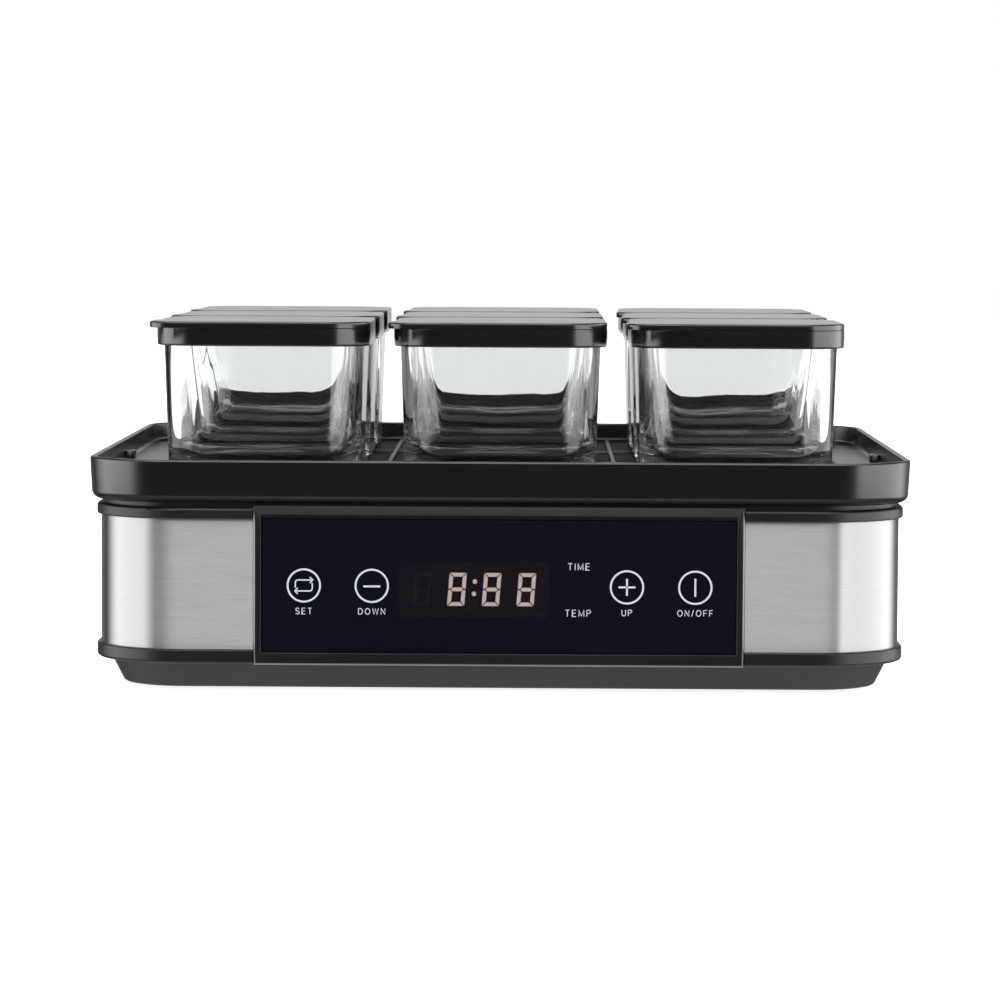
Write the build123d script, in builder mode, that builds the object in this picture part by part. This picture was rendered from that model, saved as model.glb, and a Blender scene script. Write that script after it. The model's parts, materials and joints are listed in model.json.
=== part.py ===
"""Nine-jar yogurt maker: a warming base with a jar tray, a touch control panel and lidded glass jars.

Millimetres. +X is to the right, +Y to the back, +Z up. The origin is on the surface that the feet
stand on, under the middle of the body. The control panel faces -Y.
"""

import math
import os

from build123d import *

os.makedirs("parts", exist_ok=True)

# ---- driving dimensions: jars ------------------------------------------------------------------
columns = 3
rows = 3
pitch = 85.0
jar_foot_width = 68.8
jar_neck_width = 72.0
jar_corner = 13.5
jar_wall_height = 47.0
jar_height = 54.2
jar_base = 5.5
jar_bore_foot = 60.6
jar_bore_mouth = 66.0
jar_bore_corner = 9.5
jar_bore_round = 6.0
bead_width = 73.2
bead_height = 1.5
bead_level = 49.0

lid_width = 76.6
lid_corner = 16.5
lid_height = 8.8
lid_plate = 2.0
lid_wall = 1.4
lid_tab_reach = 1.8
lid_tab_length = 28.0
lid_tab_corner = 7.0
lid_tab_thickness = 2.4
plug_width = 64.6
plug_corner = 10.6
plug_wall = 1.2
plug_depth = 4.0

# ---- driving dimensions: body, from the feet up ------------------------------------------------
foot_height = 1.5
plinth_height = 9.2
bottom_trim_height = 5.1
band_height = 46.5
top_trim_height = 4.15
neck_height = 1.75
tray_height = 15.2
tray_floor_drop = 7.5

plinth_bottom = foot_height
bottom_trim_level = plinth_bottom + plinth_height
band_level = bottom_trim_level + bottom_trim_height
top_trim_level = band_level + band_height
neck_level = top_trim_level + top_trim_height
tray_level = neck_level + neck_height
rim_level = tray_level + tray_height
floor_level = rim_level - tray_floor_drop

trim_width = 291.5
trim_depth = 264.0
trim_corner = 33.0
band_inset = 1.5
band_thickness = 0.6
band_gap = 0.1
housing_wall = 2.4
trim_ring = 8.0
neck_inset = 2.4

tray_width = 295.4
tray_depth = 268.0
tray_corner = 28.5
tray_wall = 2.2
tray_draft = 0.8
tray_floor = 2.2
tray_cavity_wall = 5.4
tray_bottom_round = 3.0
rib_width = 2.0
rib_height = 1.2
lug_size = (3.6, 10.0, 3.0)

plinth_top_inset = 5.2
plinth_slant = 4.7
plinth_wall = 2.5
plinth_round = 1.6

# ---- driving dimensions: control panel ---------------------------------------------------------
panel_level = 38.9
bezel_width = 174.2
bezel_height = 56.8
bezel_proud = 0.8
bezel_thickness = 3.2
glass_width = 168.0
glass_height = 47.2
glass_thickness = 1.5
glass_sunk = 0.2
glass_gap = 0.2
gasket_thickness = 0.3
window_width = 152.0
window_height = 26.4
skirt_width = 166.0
skirt_height = 41.0
skirt_wall = 1.5
skirt_depth = 10.0
control_board_size = (160.0, 36.0, 1.6)
key_offsets = (-69.1, -45.0, 45.0, 69.1)
key_rise = 0.4
display_centre = (-8.7, -1.1)
display_size = (52.0, 19.0, 8.0)
digit_pitch = 12.3
digit_width = 6.1
digit_height = 11.8
segment_width = 1.35
segment_gap = 0.25
segment_depth = 1.0
digit_slant = 4.5
colon_after_digit = 1
colon_rise = 0.6
colon_spread = 2.2

# ---- driving dimensions: inside ----------------------------------------------------------------
post_spots = [(sx * 127.0, sy * 62.0) for sx in (-1, 1) for sy in (-1, 1)]
post_spots += [(sx * 100.0, sy * 113.0) for sx in (-1, 1) for sy in (-1, 1)]
post_radius = 4.0
boss_radius = 3.6
post_top = 62.4
screw_seat = 54.0
screw_shank = 1.5
screw_head = 3.0
screw_clearance = 0.05

plate_size = (258.0, 232.0, 1.0)
plate_corner = 18.0
heater_radius = 1.4
heater_rows = 6
heater_pitch = 36.0
heater_half_run = 92.0
pad_size = (250.0, 216.0, 3.0)
shield_size = (256.0, 228.0, 0.8)
shield_spots = [(sx * 112.0, sy * 98.0) for sx in (-1, 1) for sy in (-1, 1)]

foot_radius = 9.0
foot_spots = [(sx * 108.0, sy * 92.0) for sx in (-1, 1) for sy in (-1, 1)]
foot_sunk = 1.5

gland_spot = (92.0, 27.0)
gland_bore = 3.6
gland_neck = 6.0
gland_flange = 8.5
gland_flange_thickness = 2.6

power_board_centre = (18.0, 34.0)
power_board_size = (104.0, 72.0, 1.6)
power_board_level = 14.0


def export(piece, name):
    """Label a finished sub-part and write its STEP file."""
    piece.part.label = name
    export_step(piece.part, f"parts/{name}.step")


# ---- base: plinth, trims, band and housing -----------------------------------------------------
plinth_width = trim_width - 2 * plinth_top_inset
plinth_depth = trim_depth - 2 * plinth_top_inset
plinth_corner = trim_corner - plinth_top_inset
slant_angle = math.degrees(math.atan(plinth_slant / plinth_height))
plinth_floor = plinth_bottom + plinth_wall

with BuildPart() as base_plinth:
    with BuildSketch(Plane.XY.offset(plinth_bottom)):
        RectangleRounded(
            plinth_width - 2 * plinth_slant, plinth_depth - 2 * plinth_slant, plinth_corner - plinth_slant
        )
    extrude(amount=plinth_height, taper=-slant_angle)
    fillet(base_plinth.faces().sort_by(Axis.Z)[0].edges(), plinth_round)
    with BuildSketch(Plane.XY.offset(plinth_floor)):
        RectangleRounded(plinth_width - 14.0, plinth_depth - 14.0, plinth_corner - 7.0)
    extrude(amount=plinth_height, mode=Mode.SUBTRACT)
    # Posts that carry the tray; each is bored from below for its long screw.
    with BuildSketch(Plane.XY.offset(plinth_floor)):
        with Locations(*post_spots):
            Circle(post_radius)
    extrude(amount=post_top - plinth_floor)
    with BuildSketch(Plane.XY.offset(plinth_bottom)):
        with Locations(*post_spots):
            Circle(screw_head + 0.2)
    extrude(amount=screw_seat - plinth_bottom, mode=Mode.SUBTRACT)
    with BuildSketch(Plane.XY.offset(plinth_bottom)):
        with Locations(*post_spots):
            Circle(screw_shank + 0.2)
    extrude(amount=post_top, mode=Mode.SUBTRACT)
    # Recesses for the feet, and rows of vent slots between them.
    with BuildSketch(Plane.XY.offset(plinth_bottom)):
        with Locations(*foot_spots):
            Circle(foot_radius + 0.1)
    extrude(amount=foot_sunk, mode=Mode.SUBTRACT)
    with BuildSketch(Plane.XY.offset(plinth_bottom)):
        with Locations((0, -70.0), (0, 70.0)):
            with GridLocations(14.0, 0, 9, 1):
                SlotOverall(26.0, 3.0, rotation=90)
    extrude(amount=plinth_wall, mode=Mode.SUBTRACT)
    # Low stand-offs under the power board.
    with BuildSketch(Plane.XY.offset(plinth_floor)):
        with Locations(power_board_centre):
            with GridLocations(power_board_size[0] - 8.0, power_board_size[1] - 8.0, 2, 2):
                Circle(3.2)
    extrude(amount=power_board_level - plinth_floor)
    with BuildSketch(Plane.XY.offset(power_board_level)):
        with Locations(power_board_centre):
            with GridLocations(power_board_size[0] - 8.0, power_board_size[1] - 8.0, 2, 2):
                Circle(1.25)
    extrude(amount=-7.0, mode=Mode.SUBTRACT)
export(base_plinth, "base_plinth")

front_rebate_depth = bezel_thickness - bezel_proud + 0.1
front_rebate_width = bezel_width + 0.4
band_width = trim_width - 2 * band_inset
band_depth = trim_depth - 2 * band_inset
band_corner = trim_corner - band_inset
trim_front = -trim_depth / 2
bezel_front = trim_front - bezel_proud
bezel_back = bezel_front + bezel_thickness


with BuildPart() as bottom_trim:
    with BuildSketch(Plane.XY.offset(bottom_trim_level)):
        RectangleRounded(trim_width, trim_depth, trim_corner)
    extrude(amount=bottom_trim_height)
    fillet(bottom_trim.faces().sort_by(Axis.Z)[0].edges(), 1.2)
    fillet(bottom_trim.faces().sort_by(Axis.Z)[-1].edges(), 0.5)
    with BuildSketch(Plane.XY.offset(bottom_trim_level)):
        RectangleRounded(trim_width - 2 * trim_ring, trim_depth - 2 * trim_ring, trim_corner - trim_ring)
    extrude(amount=bottom_trim_height, mode=Mode.SUBTRACT)
    with BuildSketch(Plane.XY.offset(bottom_trim_level)):
        with Locations((0, trim_front)):
            Rectangle(front_rebate_width, 2 * front_rebate_depth)
    extrude(amount=bottom_trim_height, mode=Mode.SUBTRACT)
export(bottom_trim, "bottom_trim")

housing_width = band_width - 2 * (band_thickness + band_gap)
housing_depth = band_depth - 2 * (band_thickness + band_gap)
housing_corner = band_corner - band_thickness - band_gap

with BuildPart() as middle_housing:
    with BuildSketch(Plane.XY.offset(band_level)):
        RectangleRounded(housing_width, housing_depth, housing_corner)
        RectangleRounded(
            housing_width - 2 * housing_wall,
            housing_depth - 2 * housing_wall,
            housing_corner - housing_wall,
            mode=Mode.SUBTRACT,
        )
    extrude(amount=band_height)
    # Window that the control panel plugs into, and the hole for the cord gland.
    with BuildSketch(Plane.XZ.offset(-trim_front)):
        with Locations((0, panel_level)):
            Rectangle(skirt_width + 0.6, skirt_height + 0.6)
    extrude(amount=-2 * trim_ring, mode=Mode.SUBTRACT)
    with BuildSketch(Plane.XZ.offset(-trim_depth / 2)):
        with Locations(gland_spot):
            Circle(gland_neck + 0.1)
    extrude(amount=2 * trim_ring, mode=Mode.SUBTRACT)
    with BuildSketch(Plane.XY.offset(band_level)):
        with Locations((0, trim_front)):
            Rectangle(front_rebate_width, 2 * front_rebate_depth)
    extrude(amount=band_height, mode=Mode.SUBTRACT)
export(middle_housing, "middle_housing")

with BuildPart() as steel_band:
    with BuildSketch(Plane.XY.offset(band_level)):
        RectangleRounded(band_width, band_depth, band_corner)
        RectangleRounded(
            band_width - 2 * band_thickness,
            band_depth - 2 * band_thickness,
            band_corner - band_thickness,
            mode=Mode.SUBTRACT,
        )
        with Locations((0, trim_front)):
            Rectangle(front_rebate_width, 4 * front_rebate_depth, mode=Mode.SUBTRACT)
    extrude(amount=band_height)
    with BuildSketch(Plane.XZ.offset(-trim_depth / 2)):
        with Locations(gland_spot):
            Circle(gland_neck + 0.1)
    extrude(amount=2 * trim_ring, mode=Mode.SUBTRACT)
export(steel_band, "steel_band")

with BuildPart() as top_trim:
    with BuildSketch(Plane.XY.offset(top_trim_level)):
        RectangleRounded(trim_width, trim_depth, trim_corner)
    extrude(amount=top_trim_height)
    fillet(top_trim.faces().sort_by(Axis.Z)[-1].edges(), 1.2)
    fillet(top_trim.faces().sort_by(Axis.Z)[0].edges(), 0.5)
    with BuildSketch(Plane.XY.offset(neck_level)):
        RectangleRounded(
            trim_width - 2 * neck_inset, trim_depth - 2 * neck_inset, trim_corner - neck_inset
        )
    extrude(amount=neck_height)
    with BuildSketch(Plane.XY.offset(top_trim_level)):
        RectangleRounded(trim_width - 2 * trim_ring, trim_depth - 2 * trim_ring, trim_corner - trim_ring)
    extrude(amount=top_trim_height + neck_height, mode=Mode.SUBTRACT)
    with BuildSketch(Plane.XY.offset(top_trim_level)):
        with Locations((0, trim_front)):
            Rectangle(front_rebate_width, 2 * front_rebate_depth)
    extrude(amount=top_trim_height + neck_height, mode=Mode.SUBTRACT)
export(top_trim, "top_trim")

with BuildPart() as rubber_feet:
    with BuildSketch(Plane.XY):
        with Locations(*foot_spots):
            Circle(foot_radius)
    extrude(amount=foot_height + foot_sunk)
    chamfer(rubber_feet.faces().group_by(Axis.Z)[0].edges(), 0.6)
export(rubber_feet, "rubber_feet")

# ---- jar tray ----------------------------------------------------------------------------------
draft_angle = math.degrees(math.atan(tray_draft / tray_height))
underside_level = floor_level - tray_floor
inner_width = tray_width - 2 * tray_wall
inner_depth = tray_depth - 2 * tray_wall
inner_corner = tray_corner - tray_wall

with BuildPart() as jar_tray:
    with BuildSketch(Plane.XY.offset(tray_level)):
        RectangleRounded(tray_width - 2 * tray_draft, tray_depth - 2 * tray_draft, tray_corner - tray_draft)
    extrude(amount=tray_height, taper=-draft_angle)
    fillet(jar_tray.faces().sort_by(Axis.Z)[0].edges(), tray_bottom_round)
    fillet(jar_tray.faces().sort_by(Axis.Z)[-1].edges(), 0.7)
    with BuildSketch(Plane.XY.offset(floor_level)):
        RectangleRounded(inner_width, inner_depth, inner_corner)
    extrude(amount=tray_height, mode=Mode.SUBTRACT)
    with BuildSketch(Plane.XY.offset(tray_level)):
        RectangleRounded(
            tray_width - 2 * (tray_draft + tray_cavity_wall),
            tray_depth - 2 * (tray_draft + tray_cavity_wall),
            tray_corner - tray_draft - tray_cavity_wall,
        )
    extrude(amount=underside_level - tray_level, mode=Mode.SUBTRACT)
    # Low ribs between the jars, and two lugs at the middle of the side walls.
    with BuildSketch(Plane.XY.offset(floor_level)):
        with Locations((0, -pitch / 2), (0, pitch / 2)):
            Rectangle(inner_width - 40.0, rib_width)
        with Locations((-pitch / 2, 0), (pitch / 2, 0)):
            Rectangle(rib_width, inner_depth - 20.0)
    extrude(amount=rib_height)
    with BuildSketch(Plane.XY.offset(floor_level)):
        with Locations(*[(side * (inner_width / 2 - lug_size[0] / 2 + 0.2), 0) for side in (-1, 1)]):
            Rectangle(lug_size[0] + 0.4, lug_size[1])
    extrude(amount=lug_size[2])
    # Screw bosses for the housing, and short ones for the heat shield.
    with BuildSketch(Plane.XY.offset(underside_level)):
        with Locations(*post_spots):
            Circle(boss_radius)
    extrude(amount=-(underside_level - post_top))
    with BuildSketch(Plane.XY.offset(post_top)):
        with Locations(*post_spots):
            Circle(screw_shank + screw_clearance)
    extrude(amount=9.5, mode=Mode.SUBTRACT)
export(jar_tray, "jar_tray")

screw_tip = post_top + 9.0

with BuildPart() as housing_screws:
    with BuildSketch(Plane.XY.offset(screw_seat - 2.0)):
        with Locations(*post_spots):
            Circle(screw_head)
    extrude(amount=2.0)
    with BuildSketch(Plane.XY.offset(screw_seat - 1.0)):
        with Locations(*post_spots):
            Circle(screw_shank)
    extrude(amount=screw_tip - screw_seat + 1.0)
    with BuildSketch(Plane.XY.offset(screw_seat - 2.0)):
        with Locations(*post_spots):
            Rectangle(3.4, 0.8)
            Rectangle(0.8, 3.4)
    extrude(amount=1.2, mode=Mode.SUBTRACT)
export(housing_screws, "housing_screws")

# ---- heating under the tray floor --------------------------------------------------------------
plate_level = underside_level - plate_size[2]
heater_level = plate_level - heater_radius - 0.05
pad_level = heater_level - heater_radius - 0.05 - pad_size[2]
shield_level = pad_level - shield_size[2]

with BuildPart() as heat_plate:
    with BuildSketch(Plane.XY.offset(plate_level)):
        RectangleRounded(plate_size[0], plate_size[1], plate_corner)
        with Locations(*post_spots):
            Circle(post_radius + 0.8, mode=Mode.SUBTRACT)
    extrude(amount=plate_size[2])
    # Stand-offs that carry the heat shield, tapped for its screws.
    with BuildSketch(Plane.XY.offset(shield_level + shield_size[2])):
        with Locations(*shield_spots):
            Circle(4.0)
    extrude(amount=plate_level - shield_level - shield_size[2])
    with BuildSketch(Plane.XY.offset(shield_level)):
        with Locations(*shield_spots):
            Circle(1.3)
    extrude(amount=plate_level - shield_level, mode=Mode.SUBTRACT)
export(heat_plate, "heat_plate")

lead_rise_x = -heater_half_run - 14.0
lead_hole_spots = [(lead_rise_x + 4.0, side * heater_pitch * (heater_rows - 1) / 2) for side in (-1, 1)]

# One heating cord laid to and fro under the plate, joined by half-turns at the row ends.
heater_start = -heater_pitch * (heater_rows - 1) / 2
heater_plane = Plane.XY.offset(heater_level)
with BuildPart() as heater_wire:
    with BuildLine(heater_plane) as heater_path:
        for row in range(heater_rows):
            side = 1 if row % 2 == 0 else -1
            level = heater_start + row * heater_pitch
            Line((-side * heater_half_run, level), (side * heater_half_run, level))
            if row < heater_rows - 1:
                turn_start = (side * heater_half_run, level)
                turn_middle = (side * (heater_half_run + heater_pitch / 2), level + heater_pitch / 2)
                turn_end = (side * heater_half_run, level + heater_pitch)
                ThreePointArc(turn_start, turn_middle, turn_end)
    with BuildSketch(Plane(origin=(-heater_half_run, heater_start, heater_level), z_dir=(1, 0, 0))):
        Circle(heater_radius)
    sweep(path=heater_path.wires()[0])
export(heater_wire, "heater_wire")

with BuildPart() as insulation_pad:
    with BuildSketch(Plane.XY.offset(pad_level)):
        RectangleRounded(pad_size[0], pad_size[1], plate_corner - 2.0)
        with Locations(*shield_spots):
            Circle(4.6, mode=Mode.SUBTRACT)
        with Locations(*post_spots):
            Circle(post_radius + 0.8, mode=Mode.SUBTRACT)
        with Locations(*lead_hole_spots):
            Rectangle(18.0, 10.0, mode=Mode.SUBTRACT)
    extrude(amount=pad_size[2])
export(insulation_pad, "insulation_pad")

with BuildPart() as heat_shield:
    with BuildSketch(Plane.XY.offset(shield_level)):
        RectangleRounded(shield_size[0], shield_size[1], plate_corner)
        with Locations(*shield_spots):
            Circle(1.6, mode=Mode.SUBTRACT)
        with Locations(*post_spots):
            Circle(post_radius + 0.8, mode=Mode.SUBTRACT)
        with Locations(*lead_hole_spots):
            Rectangle(18.0, 10.0, mode=Mode.SUBTRACT)
    extrude(amount=shield_size[2])
export(heat_shield, "heat_shield")

with BuildPart() as shield_screws:
    with BuildSketch(Plane.XY.offset(shield_level - 1.6)):
        with Locations(*shield_spots):
            Circle(2.6)
    extrude(amount=1.6)
    with BuildSketch(Plane.XY.offset(shield_level - 1.0)):
        with Locations(*shield_spots):
            Circle(1.25)
    extrude(amount=6.0)
export(shield_screws, "shield_screws")

with BuildPart() as thermal_fuse:
    with BuildSketch(Plane.YZ.offset(-20.0)):
        with Locations((heater_pitch, heater_level - 0.2)):
            Circle(1.2)
    extrude(amount=12.0)
    with BuildSketch(Plane.YZ.offset(-30.0)):
        with Locations((heater_pitch, heater_level - 0.2)):
            Circle(0.5)
    extrude(amount=32.0)
export(thermal_fuse, "thermal_fuse")

with BuildPart() as temperature_sensor:
    with BuildSketch(Plane.XY.offset(plate_level - 2.4)):
        with Locations((0, 0)):
            RectangleRounded(9.0, 6.0, 1.5)
    extrude(amount=2.4)
export(temperature_sensor, "temperature_sensor")

# ---- control panel -----------------------------------------------------------------------------
# Sketches here stand on XZ planes: x across the panel, y up. Plane.XZ's normal points to the front.
glass_front = bezel_front + glass_sunk
glass_back = glass_front + glass_thickness
gasket_back = glass_back + gasket_thickness
board_front = glass_back + 0.1 + display_size[2]
board_back = board_front + control_board_size[2]
board_screw_spots = [(sx * 78.0, panel_level + sz * 15.6) for sx in (-1, 1) for sz in (-1, 1)]

with BuildPart() as control_bezel:
    with BuildSketch(Plane.XZ.offset(-bezel_back)):
        with Locations((0, panel_level)):
            RectangleRounded(bezel_width, bezel_height, 0.8)
    extrude(amount=bezel_thickness)
    chamfer(control_bezel.faces().sort_by(Axis.Y)[0].edges(), 0.35)
    with BuildSketch(Plane.XZ.offset(-gasket_back)):
        with Locations((0, panel_level)):
            RectangleRounded(glass_width + 2 * glass_gap, glass_height + 2 * glass_gap, 1.2)
    extrude(amount=bezel_thickness, mode=Mode.SUBTRACT)
    with BuildSketch(Plane.XZ.offset(-bezel_back)):
        with Locations((0, panel_level)):
            Rectangle(window_width, window_height)
    extrude(amount=bezel_thickness, mode=Mode.SUBTRACT)
    with BuildSketch(Plane.XZ.offset(-bezel_back)):
        with Locations((0, panel_level)):
            Rectangle(skirt_width, skirt_height)
            Rectangle(skirt_width - 2 * skirt_wall, skirt_height - 2 * skirt_wall, mode=Mode.SUBTRACT)
    extrude(amount=-skirt_depth)
    with BuildSketch(Plane.XZ.offset(-bezel_back)):
        with Locations(*board_screw_spots):
            Circle(2.0)
    extrude(amount=-(board_front - bezel_back))
    with BuildSketch(Plane.XZ.offset(-board_front)):
        with Locations(*board_screw_spots):
            Circle(1.05)
    extrude(amount=5.0, mode=Mode.SUBTRACT)
export(control_bezel, "control_bezel")

with BuildPart() as panel_gasket:
    with BuildSketch(Plane.XZ.offset(-gasket_back)):
        with Locations((0, panel_level)):
            RectangleRounded(glass_width - 1.0, glass_height - 1.0, 1.0)
            Rectangle(window_width + 2.0, window_height + 2.0, mode=Mode.SUBTRACT)
    extrude(amount=gasket_thickness)
export(panel_gasket, "panel_gasket")

with BuildPart() as glass_panel:
    with BuildSketch(Plane.XZ.offset(-glass_back)):
        with Locations((0, panel_level)):
            RectangleRounded(glass_width, glass_height, 1.0)
    extrude(amount=glass_thickness)
    chamfer(glass_panel.faces().sort_by(Axis.Y)[0].edges(), 0.25)
export(glass_panel, "glass_panel")

with BuildPart() as control_board:
    with BuildSketch(Plane.XZ.offset(-board_back)):
        with Locations((0, panel_level)):
            Rectangle(control_board_size[0], control_board_size[1])
        with Locations(*board_screw_spots):
            Circle(1.2, mode=Mode.SUBTRACT)
    extrude(amount=control_board_size[2])
export(control_board, "control_board")

with BuildPart() as board_screws:
    with BuildSketch(Plane.XZ.offset(-board_back - 1.4)):
        with Locations(*board_screw_spots):
            Circle(2.0)
    extrude(amount=1.4)
    with BuildSketch(Plane.XZ.offset(-board_back)):
        with Locations(*board_screw_spots):
            Circle(1.0)
    extrude(amount=5.4)
export(board_screws, "board_screws")


def mirrored(outline, flip_x, flip_z):
    """The outline mirrored, with its corners kept in the same turning order."""
    turned = [(flip_x * x, flip_z * z) for x, z in outline]
    return turned if flip_x * flip_z > 0 else turned[::-1]


def digit_bars():
    """Outlines of the seven mitred bars of one upright digit, about the digit's centre."""
    side = digit_width / 2
    inner_side = side - segment_width
    waist = side - segment_width / 2
    top = digit_height / 2
    inner_top = top - segment_width
    middle = segment_width / 2
    gap = segment_gap
    cap = [
        (inner_side - gap, inner_top),
        (side - gap, top),
        (gap - side, top),
        (gap - inner_side, inner_top),
    ]
    upright = [
        (side, gap),
        (side, top - gap),
        (inner_side, inner_top - gap),
        (inner_side, middle + gap),
        (waist, gap),
    ]
    bar = [
        (waist - gap, 0),
        (inner_side - gap, middle),
        (gap - inner_side, middle),
        (gap - waist, 0),
        (gap - inner_side, -middle),
        (inner_side - gap, -middle),
    ]
    uprights = [mirrored(upright, flip_x, flip_z) for flip_x in (-1, 1) for flip_z in (-1, 1)]
    return [cap, mirrored(cap, 1, -1), bar] + uprights


digit_centres = [display_centre[0] + (number - 1.5) * digit_pitch for number in range(4)]
display_level = panel_level + display_centre[1]
display_front = board_front - display_size[2]
slant = math.tan(math.radians(digit_slant))
# Corners of every bar, leaned over by the slant.
bar_outlines = []
for digit_x in digit_centres:
    for bar in digit_bars():
        bar_outlines.append([(digit_x + x + z * slant, display_level + z) for x, z in bar])
colon_x = (digit_centres[colon_after_digit] + digit_centres[colon_after_digit + 1]) / 2
colon_rises = (colon_rise - colon_spread, colon_rise + colon_spread)
colon_dots = [(colon_x + z * slant, display_level + z) for z in colon_rises]

with BuildPart() as led_display:
    with BuildSketch(Plane.XZ.offset(-board_front)):
        with Locations((display_centre[0], display_level)):
            Rectangle(display_size[0], display_size[1])
    extrude(amount=display_size[2])
    with BuildSketch(Plane.XZ.offset(-display_front)):
        for outline in bar_outlines:
            Polygon(*outline, align=None)
        with Locations(*colon_dots):
            Circle(0.8)
    extrude(amount=-segment_depth, mode=Mode.SUBTRACT)
export(led_display, "led_display")

with BuildPart() as led_segments:
    with BuildSketch(Plane.XZ.offset(-display_front - segment_depth)):
        for outline in bar_outlines:
            Polygon(*outline, align=None)
        with Locations(*colon_dots):
            Circle(0.8)
    extrude(amount=segment_depth)
export(led_segments, "led_segments")

with BuildPart() as touch_pads:
    with BuildSketch(Plane.XZ.offset(-board_front)):
        with Locations(*[(x, panel_level + key_rise) for x in key_offsets]):
            Circle(5.0)
    extrude(amount=board_front - glass_back)
export(touch_pads, "touch_pads")

with BuildPart() as indicator_leds:
    with BuildSketch(Plane.XZ.offset(-board_front)):
        with Locations((28.2, panel_level + 7.2), (28.2, panel_level - 9.4)):
            Rectangle(3.2, 2.0)
    extrude(amount=1.5)
export(indicator_leds, "indicator_leds")

with BuildPart() as buzzer:
    with BuildSketch(Plane.XZ.offset(-board_back)):
        with Locations((55.0, panel_level)):
            Circle(6.0)
    extrude(amount=-6.5)
    with BuildSketch(Plane.XZ.offset(-board_back - 6.5)):
        with Locations((55.0, panel_level)):
            Circle(1.0)
    extrude(amount=1.5, mode=Mode.SUBTRACT)
export(buzzer, "buzzer")

# ---- power board and wiring --------------------------------------------------------------------
board_x, board_y = power_board_centre
board_top = power_board_level + power_board_size[2]
power_screw_grid = (power_board_size[0] - 8.0, power_board_size[1] - 8.0, 2, 2)

with BuildPart() as power_board:
    with BuildSketch(Plane.XY.offset(power_board_level)):
        with Locations(power_board_centre):
            Rectangle(power_board_size[0], power_board_size[1])
            with GridLocations(*power_screw_grid):
                Circle(1.5, mode=Mode.SUBTRACT)
    extrude(amount=power_board_size[2])
export(power_board, "power_board")

with BuildPart() as power_board_screws:
    with BuildSketch(Plane.XY.offset(board_top)):
        with Locations(power_board_centre):
            with GridLocations(*power_screw_grid):
                Circle(2.6)
    extrude(amount=1.6)
    with BuildSketch(Plane.XY.offset(board_top)):
        with Locations(power_board_centre):
            with GridLocations(*power_screw_grid):
                Circle(1.2)
    extrude(amount=-6.5)
export(power_board_screws, "power_board_screws")

with BuildPart() as transformer:
    with BuildSketch(Plane.XY.offset(board_top)):
        with Locations((board_x - 28.0, board_y + 8.0)):
            Rectangle(34.0, 22.0)
    extrude(amount=26.0)
    with BuildSketch(Plane.XY.offset(board_top + 3.0)):
        with Locations((board_x - 28.0, board_y + 8.0)):
            Rectangle(20.0, 34.0)
    extrude(amount=20.0)
    chamfer(transformer.edges().filter_by(Axis.Z), 0.6)
export(transformer, "transformer")

with BuildPart() as relay:
    with BuildSketch(Plane.XY.offset(board_top)):
        with Locations((board_x + 8.0, board_y + 12.0)):
            RectangleRounded(19.0, 15.4, 0.8)
    extrude(amount=15.5)
export(relay, "relay")

with BuildPart() as capacitors:
    with BuildSketch(Plane.XY.offset(board_top)):
        with Locations((board_x + 6.0, board_y - 14.0), (board_x + 20.0, board_y - 14.0)):
            Circle(5.0)
    extrude(amount=16.0)
    with BuildSketch(Plane.XY.offset(board_top)):
        with Locations((board_x + 34.0, board_y - 14.0)):
            RectangleRounded(9.0, 17.0, 1.0)
    extrude(amount=12.0)
    fillet(capacitors.faces().group_by(Axis.Z)[-1].edges(), 0.8)
export(capacitors, "capacitors")

terminal_centre = (board_x + 36.0, board_y + 14.0)
with BuildPart() as terminal_block:
    with BuildSketch(Plane.XY.offset(board_top)):
        with Locations(terminal_centre):
            Rectangle(24.0, 12.0)
    extrude(amount=12.0)
    with BuildSketch(Plane.XY.offset(board_top + 12.0)):
        with Locations(terminal_centre):
            with GridLocations(6.0, 0, 4, 1):
                Circle(1.8)
    extrude(amount=-4.0, mode=Mode.SUBTRACT)
    with BuildSketch(Plane.XZ.offset(-(terminal_centre[1] + 6.0))):
        with Locations((terminal_centre[0], board_top + 4.0)):
            with GridLocations(6.0, 0, 4, 1):
                Circle(1.6)
    extrude(amount=5.0, mode=Mode.SUBTRACT)
export(terminal_block, "terminal_block")

lead_radius = 1.2
lead_bend = 6.0
entry_y = terminal_centre[1] + 6.0
gland_inner = trim_depth / 2 - band_inset - 12.0
with BuildPart() as mains_leads:
    for offset_x in (-3.0, 3.0):
        start = (terminal_centre[0] + offset_x, entry_y - 4.0, board_top + 4.0)
        knee = (terminal_centre[0] + offset_x, entry_y + 18.0, board_top + 4.0)
        rise = (gland_spot[0] + 0.8 * offset_x, gland_inner - 16.0, gland_spot[1])
        end = (gland_spot[0] + 0.8 * offset_x, gland_inner - 2.0, gland_spot[1])
        with BuildLine() as lead_path:
            FilletPolyline(start, knee, rise, end, radius=lead_bend)
        with BuildSketch(Plane(origin=start, z_dir=(0, 1, 0))):
            Circle(lead_radius)
        sweep(path=lead_path.wires()[0])
export(mains_leads, "mains_leads")

# Each lead climbs through the shield and meets one end of the heating cord.
lead_corridor = 46.0
with BuildPart() as heater_leads:
    for side in (-1, 1):
        heater_end_y = side * heater_pitch * (heater_rows - 1) / 2
        foot = (board_x - 46.0, board_y - 14.0 + side * 4.0, board_top)
        above = (board_x - 46.0, board_y - 14.0 + side * 4.0, lead_corridor)
        under = (lead_rise_x, heater_end_y, lead_corridor)
        over = (lead_rise_x, heater_end_y, heater_level)
        end = (-heater_half_run, heater_end_y, heater_level)
        with BuildLine() as lead_path:
            FilletPolyline(foot, above, under, over, end, radius=lead_bend)
        with BuildSketch(Plane(origin=foot, z_dir=(0, 0, 1))):
            Circle(lead_radius)
        sweep(path=lead_path.wires()[0])
export(heater_leads, "heater_leads")

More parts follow.
